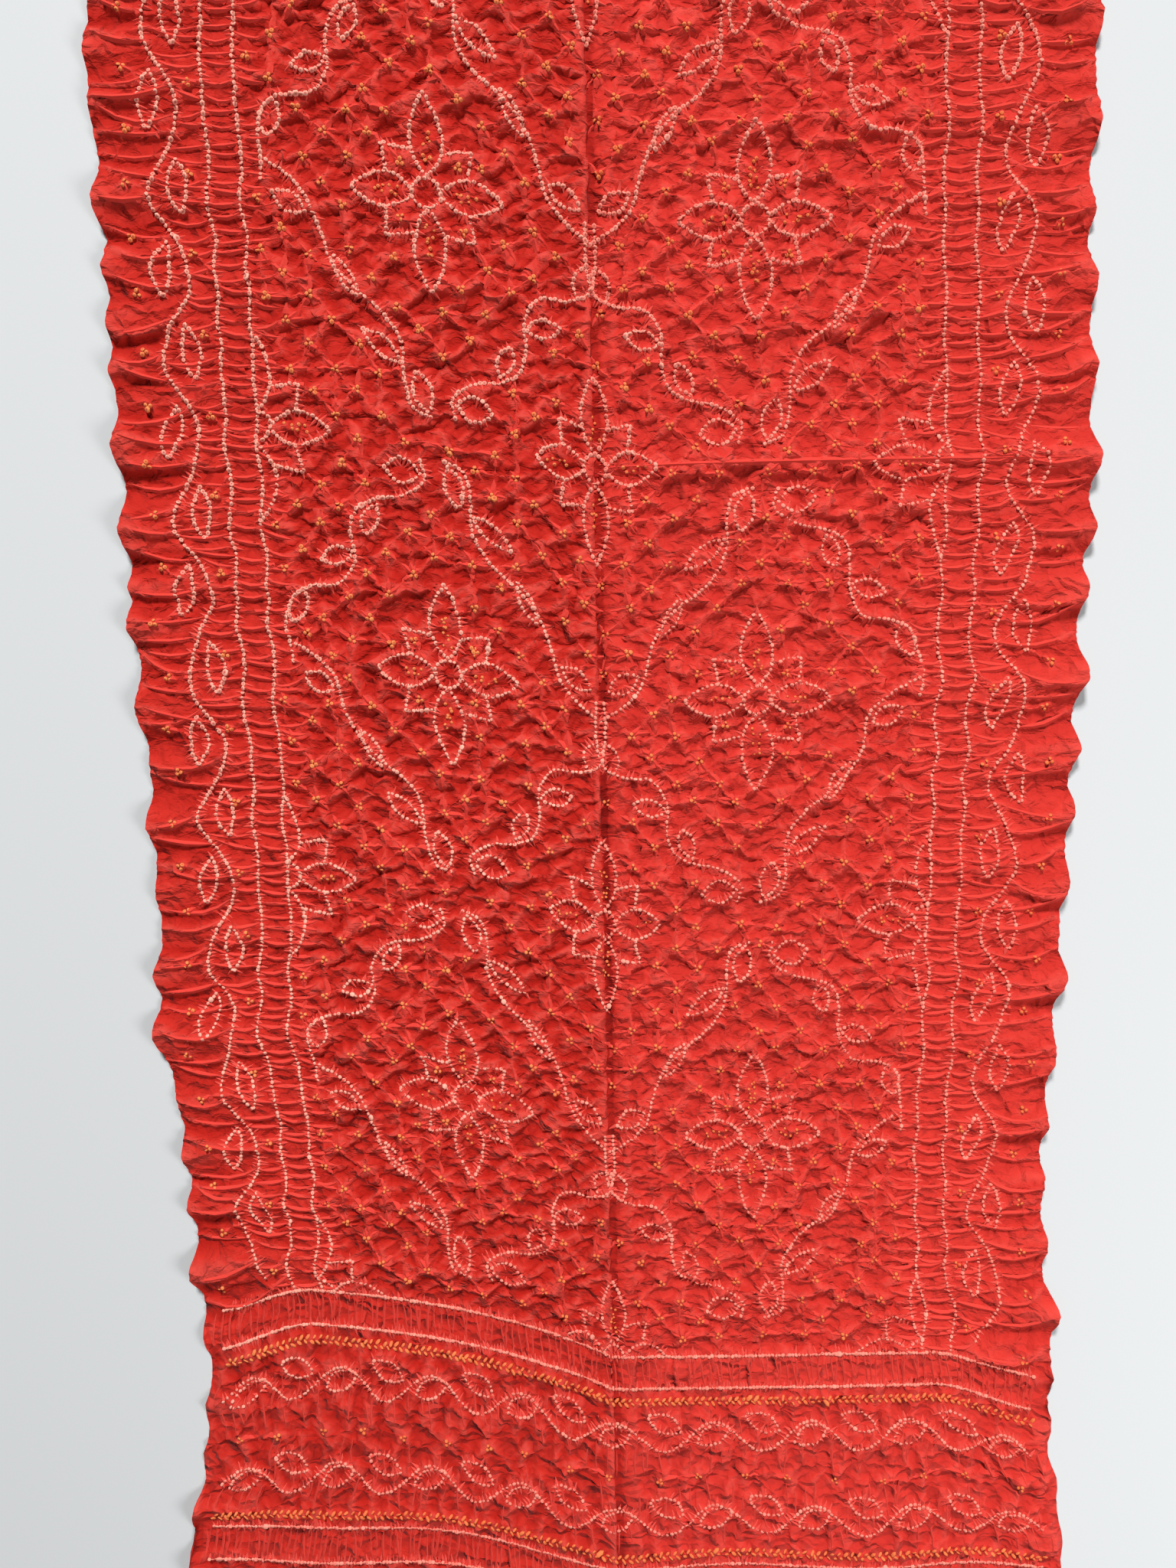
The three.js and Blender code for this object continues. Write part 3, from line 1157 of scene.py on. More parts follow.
    def settle(self, links: list[LinkSet], start: Points, aim: Points, firm: Points) -> None:
        """Runs the relaxation and keeps its result.

        Args:
            links: the sets of links.
            start: the places to start from.
            aim: the heights that held points are drawn to.
            firm: how firmly each point is drawn to its height.
        """
        place = start.astype(np.float32)
        home = self.home.astype(np.float32)
        aim = aim.astype(np.float32)
        hold = self.tied.copy()
        for rim in (np.s_[:, 0], np.s_[:, -1], np.s_[: self.rim_rows], np.s_[-self.rim_rows :]):
            hold[rim] = np.maximum(hold[rim], self.rim_hold)
        raised = firm.astype(np.float32)
        highest = (self.base + self.most_rise).astype(np.float32)
        speed = np.zeros_like(place)
        bend = np.float32(self.bend)
        rows = (np.s_[1:-1], np.s_[:-2], np.s_[2:])
        columns = tuple((np.s_[:], part) for part in rows)
        inner = np.s_[1:-1, 1:-1]
        slants = (inner, np.s_[:-2, :-2], np.s_[2:, 2:]), (inner, np.s_[:-2, 2:], np.s_[2:, :-2])
        bends = (rows, columns, *slants)
        for _ in range(self.iterations):
            before = place.copy()
            place += np.float32(self.damping) * speed
            place[..., 2] -= np.float32(self.fall)
            for first, second, rest, stiffness in links:
                self.draw(place[first], place[second], rest, stiffness)
            for middle, one, other in bends:
                place[middle] += bend * (0.5 * (place[one] + place[other]) - place[middle])
            place[..., :2] += hold[..., None] * (home - place[..., :2])
            place[..., 2] += raised * (aim - place[..., 2])
            np.clip(place[..., 2], self.floor, highest, out=place[..., 2])
            speed = np.clip(place - before, -self.fastest, self.fastest)
        self.solved = place.astype(float)

    def build(self, finish: ClothFinish) -> Object:
        """Makes the sheet's mesh with its pattern map and its relief, which carries the painted shade,
        highlight and fold shadows.

        Args:
            finish: the dyed cotton.

        Returns:
            The cloth, with its faces up.
        """
        rows, columns = self.tied.shape
        mesh = bpy.data.meshes.new("stole_cloth")
        corner = np.arange(rows * columns).reshape(rows, columns)
        around = (corner[:-1, :-1], corner[:-1, 1:], corner[1:, 1:], corner[1:, :-1])
        faces = np.stack(around, axis=-1).reshape(-1, 4)
        mesh.vertices.add(rows * columns)
        mesh.vertices.foreach_set("co", (self.solved * MM).ravel())
        mesh.loops.add(faces.size)
        mesh.loops.foreach_set("vertex_index", faces.ravel())
        mesh.polygons.add(len(faces))
        mesh.polygons.foreach_set("loop_start", np.arange(0, faces.size, 4))
        mesh.update(calc_edges=True)
        mesh.validate()
        mesh.polygons.foreach_set("use_smooth", np.ones(len(faces), bool))
        pattern = mesh.uv_layers.new(name="pattern")
        pattern.data.foreach_set("uv", (self.flat.reshape(-1, 2)[faces.ravel()] * MM).ravel())
        # The relief, for the painted shade in the hollows and the painted highlight on the ridges, with the
        # painted fold shadows in it.
        stored(mesh, "relief", self.relief())
        stored(mesh, "gather", self.zones()[3])
        mesh.materials.append(finish.material())
        piece = linked("stole_cloth", mesh)
        thinning = piece.modifiers.new("thinning", "DECIMATE")
        thinning.ratio = self.most_triangles / (2 * len(faces))
        return applied(piece, thinning)
    def relief(self) -> Points:
        """Compares the sheet with its neighbourhood, for painted shade in the hollows and painted highlight
        on the ridges, and adds painted shadow along the folds.

        Returns:
            From -1 in the hollows to 1 on the ridges.
        """
        height = self.solved[..., 2]
        around = height.copy()
        for _ in range(30):
            around[1:-1] = 0.25 * (around[:-2] + around[2:]) + 0.5 * around[1:-1]
            around[:, 1:-1] = 0.25 * (around[:, :-2] + around[:, 2:]) + 0.5 * around[:, 1:-1]
        depth = (height - around) / self.relief_scale
        # Painted shadow along each fold, taken off the relief so that it turns to the shade colour.
        for middle, half, low, high, dark in self.crease_shadow_marks:
            along = self.home[..., 1]
            soft = min(12.0, 0.5 * (high - low))
            inside = eased(along, low, low + soft) * (1 - eased(along, high - soft, high))
            depth = depth - dark * inside * np.exp(-(((self.flat[..., 0] - middle) / half) ** 4))
        return np.clip(depth, -1.0, 1.0)


class NodePen:
    """Adds nodes to a tree and joins them by socket name."""

    def __init__(self, tree: NodeTree) -> None:
        """Keeps the tree and clears it."""
        self.tree = tree
        tree.nodes.clear()

    def add(self, kind: str, settings: dict | None = None, **values: object) -> Node:
        """Adds a node.

        Args:
            kind: the node's type.
            settings: its properties.
            **values: its inputs by socket name, underscores for spaces: a value, or a socket to join.

        Returns:
            The node.
        """
        node = self.tree.nodes.new(kind)
        for name, value in (settings or {}).items():
            setattr(node, name, value)
        for name, value in values.items():
            self.put(node.inputs[name.replace("_", " ")], value)
        return node

    def put(self, socket: NodeSocket, value: object) -> None:
        """Fills an input.

        Args:
            socket: the input.
            value: a value to set, or a socket to join.
        """
        if isinstance(value, NodeSocket):
            self.tree.links.new(value, socket)
        else:
            socket.default_value = value

    def math(self, operation: str, first: object, second: object = 0.0) -> NodeSocket:
        """One step of arithmetic.

        Args:
            operation: its name.
            first: the first value or socket.
            second: the second.

        Returns:
            The result's socket.
        """
        node = self.add("ShaderNodeMath", {"operation": operation})
        self.put(node.inputs[0], first)
        self.put(node.inputs[1], second)
        return node.outputs[0]

    def mix(self, share: object, first: object, second: object) -> NodeSocket:
        """A blend of two colours.

        Args:
            share: how much of the second.
            first: the first colour or socket.
            second: the second.

        Returns:
            The blend's socket.
        """
        node = self.add("ShaderNodeMix", {"data_type": "RGBA"})
        for index, value in ((0, share), (6, first), (7, second)):
            self.put(node.inputs[index], value)
        return node.outputs[2]

    def noise(
        self, place: NodeSocket, scale: object, detail: float, rough: float, bent: float = 0.0
    ) -> NodeSocket:
        """Clouds from 0 to 1 over a place."""
        values = {"Vector": place, "Scale": scale, "Detail": detail, "Roughness": rough, "Distortion": bent}
        return self.add("ShaderNodeTexNoise", **values).outputs[0]

    def scaled(self, place: NodeSocket, counts: Pair) -> NodeSocket:
        """A place that is counted so often to the metre, across and along."""
        return self.add("ShaderNodeMapping", Vector=place, Scale=(*counts, 1.0)).outputs[0]

    def cells(self, place: NodeSocket, counts: Pair) -> NodeSocket:
        """Uneven cells.

        Args:
            place: the place to divide.
            counts: how many cells go to the metre, across and along.

        Returns:
            The distance to the nearest border.
        """
        settings = {"feature": "DISTANCE_TO_EDGE", "voronoi_dimensions": "2D"}
        node = self.add("ShaderNodeTexVoronoi", settings, Vector=self.scaled(place, counts), Scale=1.0)
        return node.outputs[0]

    def point(self, name: str) -> NodeSocket:
        """A number that the mesh keeps at its points, in a material."""
        return self.add("ShaderNodeAttribute", {"attribute_name": name}).outputs["Fac"]

    def effect(self, tree: NodeTree) -> NodeSocket:
        """A shared effect's output, in a material."""
        return self.add("ShaderNodeGroup", {"node_tree": tree}).outputs[0]

    def named(self, name: str, kind: str = "FLOAT") -> NodeSocket:
        """What the mesh keeps at its points, in Geometry Nodes."""
        return self.add("GeometryNodeInputNamedAttribute", {"data_type": kind}, Name=name).outputs[0]

    def keep(self, shape: NodeSocket, name: str, value: NodeSocket) -> NodeSocket:
        """Keeps one more number at a shape's points, in Geometry Nodes.

        Args:
            shape: the shape.
            name: the number's name.
            value: the number.

        Returns:
            The shape with it.
        """
        settings = {"data_type": "FLOAT", "domain": "POINT"}
        values = {"Geometry": shape, "Name": name, "Value": value}
        return self.add("GeometryNodeStoreNamedAttribute", settings, **values).outputs[0]

    def cotton(self, colour: NodeSocket, normal: NodeSocket, **values: float) -> None:
        """Ends a material with a matt shader."""
        shader = self.add("ShaderNodeBsdfPrincipled", Base_Color=colour, Normal=normal, **values)
        self.add("ShaderNodeOutputMaterial", Surface=shader.outputs[0])


def started(name: str, kind: str, inputs: dict[str, str | float], outputs: dict[str, str]) -> NodePen:
    """Starts a node tree with named sockets.

    Args:
        name: the tree's name.
        kind: Shader or Geometry.
        inputs: each input's kind, or the usual value of a number.
        outputs: each output's kind.

    Returns:
        A pen for the tree.
    """
    tree = bpy.data.node_groups.new(name, kind + "NodeTree")
    for way, sockets in (("INPUT", inputs), ("OUTPUT", outputs)):
        for label, sort in sockets.items():
            number = isinstance(sort, float)
            socket_type = "NodeSocket" + ("Float" if number else sort)
            socket = tree.interface.new_socket(label, in_out=way, socket_type=socket_type)
            if number:
                socket.default_value = sort
    return NodePen(tree)


def painted(name: str) -> tuple[Material, NodePen]:
    """Starts a material.

    Args:
        name: its name.

    Returns:
        The material, and a pen for it.
    """
    made = bpy.data.materials.new(name)
    made.use_nodes = True
    return made, NodePen(made.node_tree)


class DyeEffects:
    """The shader groups that the cloth and its dots share."""

    def __init__(self) -> None:
        """Builds each group once."""
        self.mottle = self.build_mottle()
        self.threads = self.build_threads()

    @staticmethod
    def build_mottle() -> NodeTree:
        """Uneven uptake of dye, in broad clouds with finer specks.

        Returns:
            The group, whose Mask goes from 0 to 1.
        """
        pen = started("dye_mottle", "Shader", {"Cloud": 22.0, "Speck": 420.0}, {"Mask": "Float"})
        came = pen.add("NodeGroupInput").outputs
        place = pen.add("ShaderNodeTexCoord").outputs["Object"]
        cloud = pen.math("MULTIPLY", pen.noise(place, came["Cloud"], 3.0, 0.6), 0.55)
        speck = pen.math("MULTIPLY", pen.noise(place, came["Speck"], 2.0, 0.7), 0.45)
        pen.add("NodeGroupOutput", Mask=pen.math("ADD", cloud, speck))
        return pen.tree

    @staticmethod
    def build_threads() -> NodeTree:
        """The plain weave of fine cotton, with slubs.

        Returns:
            The group, whose Height goes from 0 to 1.
        """
        pen = started("cotton_threads", "Shader", {"Count": 1400.0, "Slub": 160.0}, {"Height": "Float"})
        came = pen.add("NodeGroupInput").outputs
        place = pen.add("ShaderNodeTexCoord").outputs["Object"]
        apart = pen.add("ShaderNodeSeparateXYZ", Vector=place).outputs
        warp, weft = (pen.math("SINE", pen.math("MULTIPLY", apart[axis], came["Count"])) for axis in (0, 1))
        slub = pen.math("MULTIPLY", pen.noise(place, came["Slub"], 4.0, 0.65), 0.6)
        weave = pen.math("MULTIPLY_ADD", pen.math("MULTIPLY", warp, weft), 0.2)
        weave.node.inputs[2].default_value = 0.3
        pen.add("NodeGroupOutput", Height=pen.math("ADD", weave, slub))
        return pen.tree


@dataclass(frozen=True)
class ClothFinish:
    """Fine red cotton: painted shade in the hollows, painted highlight on the ridges, painted light on the
    right half and painted shadow along the folds, with dye clouds and small crinkles.
    """

    effects: DyeEffects
    # Painted shade for the hollows; also the deeper red of the dye clouds.
    hollow_shade_and_dye_cloud: Colour = (0.36, 0.008, 0.004, 1.0)
    body: Colour = (0.58, 0.030, 0.020, 1.0)
    # Painted highlight for the ridge tops.
    ridge_highlight: Colour = (0.83, 0.13, 0.10, 1.0)
    # Painted light over the right half.
    right_half_light: Colour = (0.80, 0.060, 0.046, 1.0)
    # Painted shadow along the folds.
    crease_shadow_red: Colour = (0.17, 0.004, 0.003, 1.0)
    crinkles: Pair = (70.0, 150.0)
    pleats: Pair = (165.0, 16.0)
    small_folds: Pair = (62.0, 92.0)
    broad_folds: Pair = (27.0, 37.0)
    roughness: float = 0.9
    sheen: float = 0.03
    sheen_roughness: float = 0.5
    specular: float = 0.06

    @staticmethod
    def crease_shadow_line(pen: NodePen, pattern: NodeSocket) -> NodeSocket:
        """The painted shadow down the middle fold, broken, and deepest by the middle row.

        Args:
            pen: the material's pen.
            pattern: the place on the flat pattern.

        Returns:
            A mask from 0 to 1.
        """
        apart = pen.add("ShaderNodeSeparateXYZ", Vector=pattern).outputs
        middle = pen.math("ADD", 0.0013, pen.math("MULTIPLY", pen.noise(pattern, 95.0, 2.0, 0.6), 0.0024))
        off = pen.math("ABSOLUTE", pen.math("SUBTRACT", apart[0], middle))
        band = pen.math("SUBTRACT", 1.0, pen.math("POWER", pen.math("DIVIDE", off, 0.0026), 4.0))
        away = pen.math("DIVIDE", pen.math("ABSOLUTE", pen.math("ADD", apart[1], 0.095)), 0.19)
        deep = pen.math("MAXIMUM", pen.math("SUBTRACT", 1.0, pen.math("POWER", away, 4.0)), 0.0)
        depth = pen.math("ADD", 0.3, pen.math("MULTIPLY", deep, 0.45))
        return pen.math("MULTIPLY", pen.math("MAXIMUM", band, 0.0), depth)

    def colour(self, pen: NodePen, pattern: NodeSocket) -> NodeSocket:
        """The colour: painted shade and highlight by relief, dye mottle, painted light on the right half,
        painted shadow along the middle fold.

        Args:
            pen: the material's pen.
            pattern: the place on the flat pattern.

        Returns:
            The colour.
        """
        # Painted shade in the hollows and painted highlight on the ridges, by how far each point stands above
        # its neighbourhood.
        relief = pen.point("relief")
        low = pen.math("MULTIPLY", pen.math("MAXIMUM", pen.math("MULTIPLY", relief, -1.0), 0.0), 0.8)
        high = pen.math("MULTIPLY", pen.math("MAXIMUM", relief, 0.0), 0.4)
        colour = pen.mix(high, pen.mix(low, self.body, self.hollow_shade_and_dye_cloud), self.ridge_highlight)
        cloud = pen.math("MULTIPLY", pen.math("SUBTRACT", pen.effect(self.effects.mottle), 0.4), 0.9)
        colour = pen.mix(0.08, pen.mix(cloud, colour, self.hollow_shade_and_dye_cloud), self.hollow_shade_and_dye_cloud)
        # Painted light: the right half paler, as if lit more strongly.
        across = pen.add("ShaderNodeSeparateXYZ", Vector=pattern).outputs[0]
        right = pen.add("ShaderNodeMapRange", Value=across, From_Min=-0.01, From_Max=0.03).outputs[0]
        colour = pen.mix(pen.math("MULTIPLY", right, 0.28), colour, self.right_half_light)
        # Painted shadow along the middle fold.
        return pen.mix(self.crease_shadow_line(pen, pattern), colour, self.crease_shadow_red)

    def normal(self, pen: NodePen, pattern: NodeSocket) -> NodeSocket:
        """The creases that are finer than the mesh: crinkles or pleats, then folds, then the weave.

        Args:
            pen: the material's pen.
            pattern: the place on the flat pattern.

        Returns:
            The normal.
        """
        crinkle = pen.noise(pen.scaled(pattern, self.crinkles), 1.0, 3.0, 0.6, 0.8)
        pleats = pen.noise(pen.scaled(pattern, self.pleats), 1.0, 1.0, 0.4, 0.2)
        crease = pen.math("ABSOLUTE", pen.math("SUBTRACT", crinkle, 0.5))
        sharp = pen.math("SUBTRACT", 0.7, pen.math("MULTIPLY", crease, 2.0))
        both = pen.add("ShaderNodeMix", Factor=pen.point("gather"), A=sharp, B=pleats).outputs[0]
        fine = pen.add("ShaderNodeBump", Strength=0.85, Distance=0.0017, Height=both).outputs[0]
        stray = pen.noise(pattern, 55.0, 2.0, 0.5).node.outputs["Color"]
        moved = pen.add("ShaderNodeVectorMath", {"operation": "SCALE"}, Vector=stray, Scale=0.016).outputs[0]
        bent = pen.add("ShaderNodeVectorMath", {"operation": "ADD"})
        for socket, value in zip(bent.inputs, (pattern, moved)):
            pen.put(socket, value)
        small = pen.math("MINIMUM", pen.cells(bent.outputs[0], self.small_folds), 0.32)
        broad = pen.math("MINIMUM", pen.cells(bent.outputs[0], self.broad_folds), 0.4)
        hips = pen.math("SUBTRACT", pen.math("MULTIPLY", small, -1.0), pen.math("MULTIPLY", broad, 1.8))
        folds = pen.add("ShaderNodeBump", Strength=0.9, Distance=0.0055, Height=hips, Normal=fine).outputs[0]
        threads = pen.effect(self.effects.threads)
        weave = pen.add("ShaderNodeBump", Strength=0.35, Distance=0.0004, Height=threads, Normal=folds)
        return weave.outputs[0]

    def material(self) -> Material:
        """Builds the material.

        Returns:
            The dyed cotton.
        """
        made, pen = painted("dyed_cotton")
        pattern = pen.add("ShaderNodeUVMap", {"uv_map": "pattern"}).outputs[0]
        pen.cotton(
            self.colour(pen, pattern), self.normal(pen, pattern), Roughness=self.roughness,
            Sheen_Weight=self.sheen, Sheen_Roughness=self.sheen_roughness, Specular_IOR_Level=self.specular,
        )
        return made


@dataclass(frozen=True)
class DotFinish:
    """The small place that a tie kept from the dye, with the red showing again in its pucker."""

    effects: DyeEffects
    name: str
    kept: Colour
    stained: Colour
    pucker: Colour = (0.42, 0.03, 0.022, 1.0)
    dyed: Colour = (0.66, 0.04, 0.028, 1.0)
    roughness: float = 0.85
    specular: float = 0.06

    def material(self) -> Material:
        """Builds the material.

        Returns:
            The dot's finish.
        """
        made, pen = painted(self.name)
        mottle = pen.math("ADD", pen.effect(self.effects.mottle), 0.5)
        amount = pen.math("MULTIPLY", pen.point("stain"), mottle)
        colour = pen.mix(pen.point("hole"), pen.mix(amount, self.kept, self.stained), self.pucker)
        colour = pen.mix(pen.point("skirt"), colour, self.dyed)
        threads = pen.effect(self.effects.threads)
        weave = pen.add("ShaderNodeBump", Strength=0.3, Distance=0.0003, Height=threads).outputs[0]
        pen.cotton(colour, weave, Roughness=self.roughness, Specular_IOR_Level=self.specular)
        return made


def set_out(name: str, mesh: Mesh, tree: NodeTree, values: dict[str, object]) -> Object:
    """Runs a Geometry Nodes tree on a mesh and keeps the result.

    Args:
        name: the piece's name.
        mesh: the points or paths that the tree works on.
        tree: the tree.
        values: its inputs by name.

    Returns:
        The piece as a plain mesh, without the modifier.
    """
    piece = linked(name, mesh)
    setter = piece.modifiers.new("set_out", "NODES")
    setter.node_group = tree
    for item in tree.interface.items_tree:
        if item.in_out == "INPUT" and item.name in values:
            setter[item.identifier] = values[item.name]
    return applied(piece, setter)


class Ground:
    """The settled cloth, as the surface that dots and creases lie on."""

    def __init__(self, lay: Lay, sheet: Object) -> None:
        """Keeps what is looked up.

        Args:
            lay: how the pattern lies.
            sheet: the settled cloth.
        """
        self.lay = lay
        corners = [vertex.co for vertex in sheet.data.vertices]
        self.tree = BVHTree.FromPolygons(corners, [tuple(face.vertices) for face in sheet.data.polygons])

    def under(self, flat: Points) -> tuple[Points, Points]:
        """Finds where points of the flat pattern lie on the cloth.

        Args:
            flat: the points, in millimetres.

        Returns:
            Their places in metres, and the cloth's normals there.
        """
        lain = self.lay.place(flat) * MM
        places = np.empty((len(flat), 3))
        normals = np.empty((len(flat), 3))
        down = Vector((0, 0, -1))
        for index, (across, along) in enumerate(lain):
            hit, normal = self.tree.ray_cast(Vector((across, along, 0.1)), down)[:2]
            if hit is None:
                hit, normal = self.tree.find_nearest(Vector((across, along, 0.002)))[:2]
            places[index] = hit
            normals[index] = normal
        return places, normals


@dataclass(frozen=True)
class Stud:
    """The small shape set on each point: its sides, its sizes for a radius of one, and its stretch."""

    sides: int
    height: float
    mouth: float
    dimple: float
    sink: float
    stretch: Triple = (1.0, 1.0, 1.0)


@dataclass
class TiedDots:
    """The knots that stand on the cloth, set by Geometry Nodes where the cloth lies."""

    ground: Ground
    round: Stud = Stud(6, 0.5, 0.7, 0.12, 0.2)
    broad: Stud = Stud(6, 0.46, 0.78, 0.1, 0.2, (1.18, 1.0, 1.0))
    long: Stud = Stud(6, 0.5, 0.7, 0.1, 0.2, (1.75, 0.9, 1.0))
    uneven: Pair = (0.76, 1.14)
    large: float = 1.4
    large_share: float = 0.012
    enlarged: float = 0.2
    openings: Pair = (0.3, 1.3)
    least_stain: float = 0.15
    more_stain: float = 0.6
    stain_spread: Pair = (-0.14, 0.22)
    seed: int = 5
    sizes: dict[Knot, float] = field(default_factory=lambda: {
        Knot.LINE: 2.75, Knot.FINE: 3.1, Knot.PETAL: 2.3, Knot.BRAID: 3.1, Knot.CLUSTER: 2.9,
    })

    def tree(self) -> NodeTree:
        """The Geometry Nodes tree that sets a small stud on each point.

        Returns:
            The tree, with named inputs for the stud's sizes and its finish.
        """
        inputs = {
            "Geometry": "Geometry", "Sides": "Int", "Height": "Float", "Mouth": "Float", "Dimple": "Float",
            "Stretch": "Vector", "Finish": "Material",
        }
        pen = started("tied_dots", "Geometry", inputs, {"Geometry": "Geometry"})
        came = pen.add("NodeGroupInput").outputs
        cone = pen.add(
            "GeometryNodeMeshCone", {"fill_type": "TRIANGLE_FAN"}, Vertices=came["Sides"],
            Radius_Top=came["Mouth"], Radius_Bottom=1.0, Depth=came["Height"],
        ).outputs[0]
        place = pen.add("GeometryNodeInputPosition").outputs[0]
        apart = pen.add("ShaderNodeSeparateXYZ", Vector=place).outputs
        out = pen.math("ADD", pen.math("ABSOLUTE", apart[0]), pen.math("ABSOLUTE", apart[1]))
        on_top = pen.math("GREATER_THAN", apart[2], 0.1)
        middle = pen.math("MULTIPLY", pen.math("LESS_THAN", out, 0.1), on_top)
        sunk = pen.add("ShaderNodeCombineXYZ", Z=pen.math("MULTIPLY", came["Dimple"], -1.0)).outputs[0]
        stud = pen.add("GeometryNodeSetPosition", Geometry=cone, Selection=middle, Offset=sunk).outputs[0]
        stud = pen.keep(stud, "middle", middle)
        stud = pen.keep(stud, "skirt", pen.math("LESS_THAN", apart[2], 0.0))
        smooth = pen.add("GeometryNodeSetShadeSmooth", Geometry=stud).outputs[0]
        lean, run = (pen.named(name, "FLOAT_VECTOR") for name in ("lean", "run"))
        stood = pen.add("FunctionNodeAlignRotationToVector", {"axis": "Z"}, Vector=lean).outputs[0]
        ahead = {"axis": "X", "pivot_axis": "Z"}
        turn = pen.add("FunctionNodeAlignRotationToVector", ahead, Rotation=stood, Vector=run).outputs[0]
        girth = pen.named("girth")
        sized = pen.add("ShaderNodeVectorMath", {"operation": "SCALE"}, Vector=came["Stretch"], Scale=girth)
        points = pen.add("GeometryNodeMeshToPoints", Mesh=came["Geometry"]).outputs[0]
        copies = pen.add(
            "GeometryNodeInstanceOnPoints", Points=points, Instance=smooth, Rotation=turn,
            Scale=sized.outputs[0],
        ).outputs[0]
        real = pen.add("GeometryNodeRealizeInstances", Geometry=copies).outputs[0]
        holed = pen.keep(real, "hole", pen.math("MULTIPLY", pen.named("opened"), pen.named("middle")))
        dressed = pen.add("GeometryNodeSetMaterial", Geometry=holed, Material=came["Finish"]).outputs[0]
        pen.add("NodeGroupOutput", Geometry=dressed)
        return pen.tree

    def knots(self, dots: dict[Knot, Points]) -> tuple[Points, Points]:
        """The dots of one piece with the half width of each.

        Args:
            dots: the dots by kind, on the flat pattern.

        Returns:
            The dots with their headings, and their half widths in millimetres.
        """
        rng = np.random.default_rng(self.seed)
        girth = np.concatenate([np.full(len(found), 0.5 * self.sizes[kind]) for kind, found in dots.items()])
        uneven = rng.uniform(*self.uneven, len(girth))
        large = np.where(rng.random(len(girth)) < self.large_share, self.large, 1.0)
        return np.vstack(list(dots.values())), girth * uneven * large

    def build(
        self, name: str, stud: Stud, flat: Points, girth: Points, tree: NodeTree, finish: Material
    ) -> Object:
        """Sets one piece's studs on the cloth.

        Args:
            name: the piece's name.
            stud: the small shape to set.
            flat: the studs' places on the flat pattern, with their headings.
            girth: the scale of each, in millimetres.
            tree: the Geometry Nodes tree.
            finish: the studs' finish.

        Returns:
            The piece as a plain mesh.
        """
        rng = np.random.default_rng(self.seed)
        upper_left = eased(flat[:, 1] - 0.9 * flat[:, 0], -60.0, 260.0)
        girth = girth * (1 + self.enlarged * upper_left)
        places, normals = self.ground.under(flat[:, :2])
        ahead = np.column_stack((np.cos(flat[:, 2]), np.sin(flat[:, 2])))
        lay = self.ground.lay
        headings = np.zeros_like(places)
        headings[:, :2] = lay.place(flat[:, :2] + 0.5 * ahead) - lay.place(flat[:, :2])
        places += normals * (0.5 * stud.height - stud.sink) * girth[:, None] * MM
        places[:, 2] = np.maximum(places[:, 2], 0.9 * girth * MM)
        lower_right = eased(0.9 * flat[:, 0] - 0.8 * flat[:, 1], -20.0, 400.0)
        mesh = bpy.data.meshes.new(name)
        mesh.from_pydata(places.tolist(), [], [])
        opened = upper_left * rng.uniform(*self.openings, len(girth))
        by_crease = np.exp(-np.abs(flat[:, 0] - 8.0) / 16.0)
        turned_out = np.maximum(lower_right, 0.7 * eased(flat[:, 0], -20.0, 70.0))
        stain = self.least_stain + self.more_stain * np.maximum(turned_out, by_crease)
        stain = stain + rng.uniform(*self.stain_spread, len(girth))
        stored(mesh, "girth", girth * MM)
        stored(mesh, "opened", np.clip(opened, 0.0, 1.0))
        stored(mesh, "stain", np.clip(stain, 0.0, 1.0))
        for label, values in (("lean", normals), ("run", headings)):
            mesh.attributes.new(label, "FLOAT_VECTOR", "POINT").data.foreach_set("vector", values.ravel())
        values = {
            "Sides": stud.sides, "Height": stud.height, "Mouth": stud.mouth, "Dimple": stud.dimple,
            "Stretch": stud.stretch, "Finish": finish,
        }
        return set_out(name, mesh, tree, values)


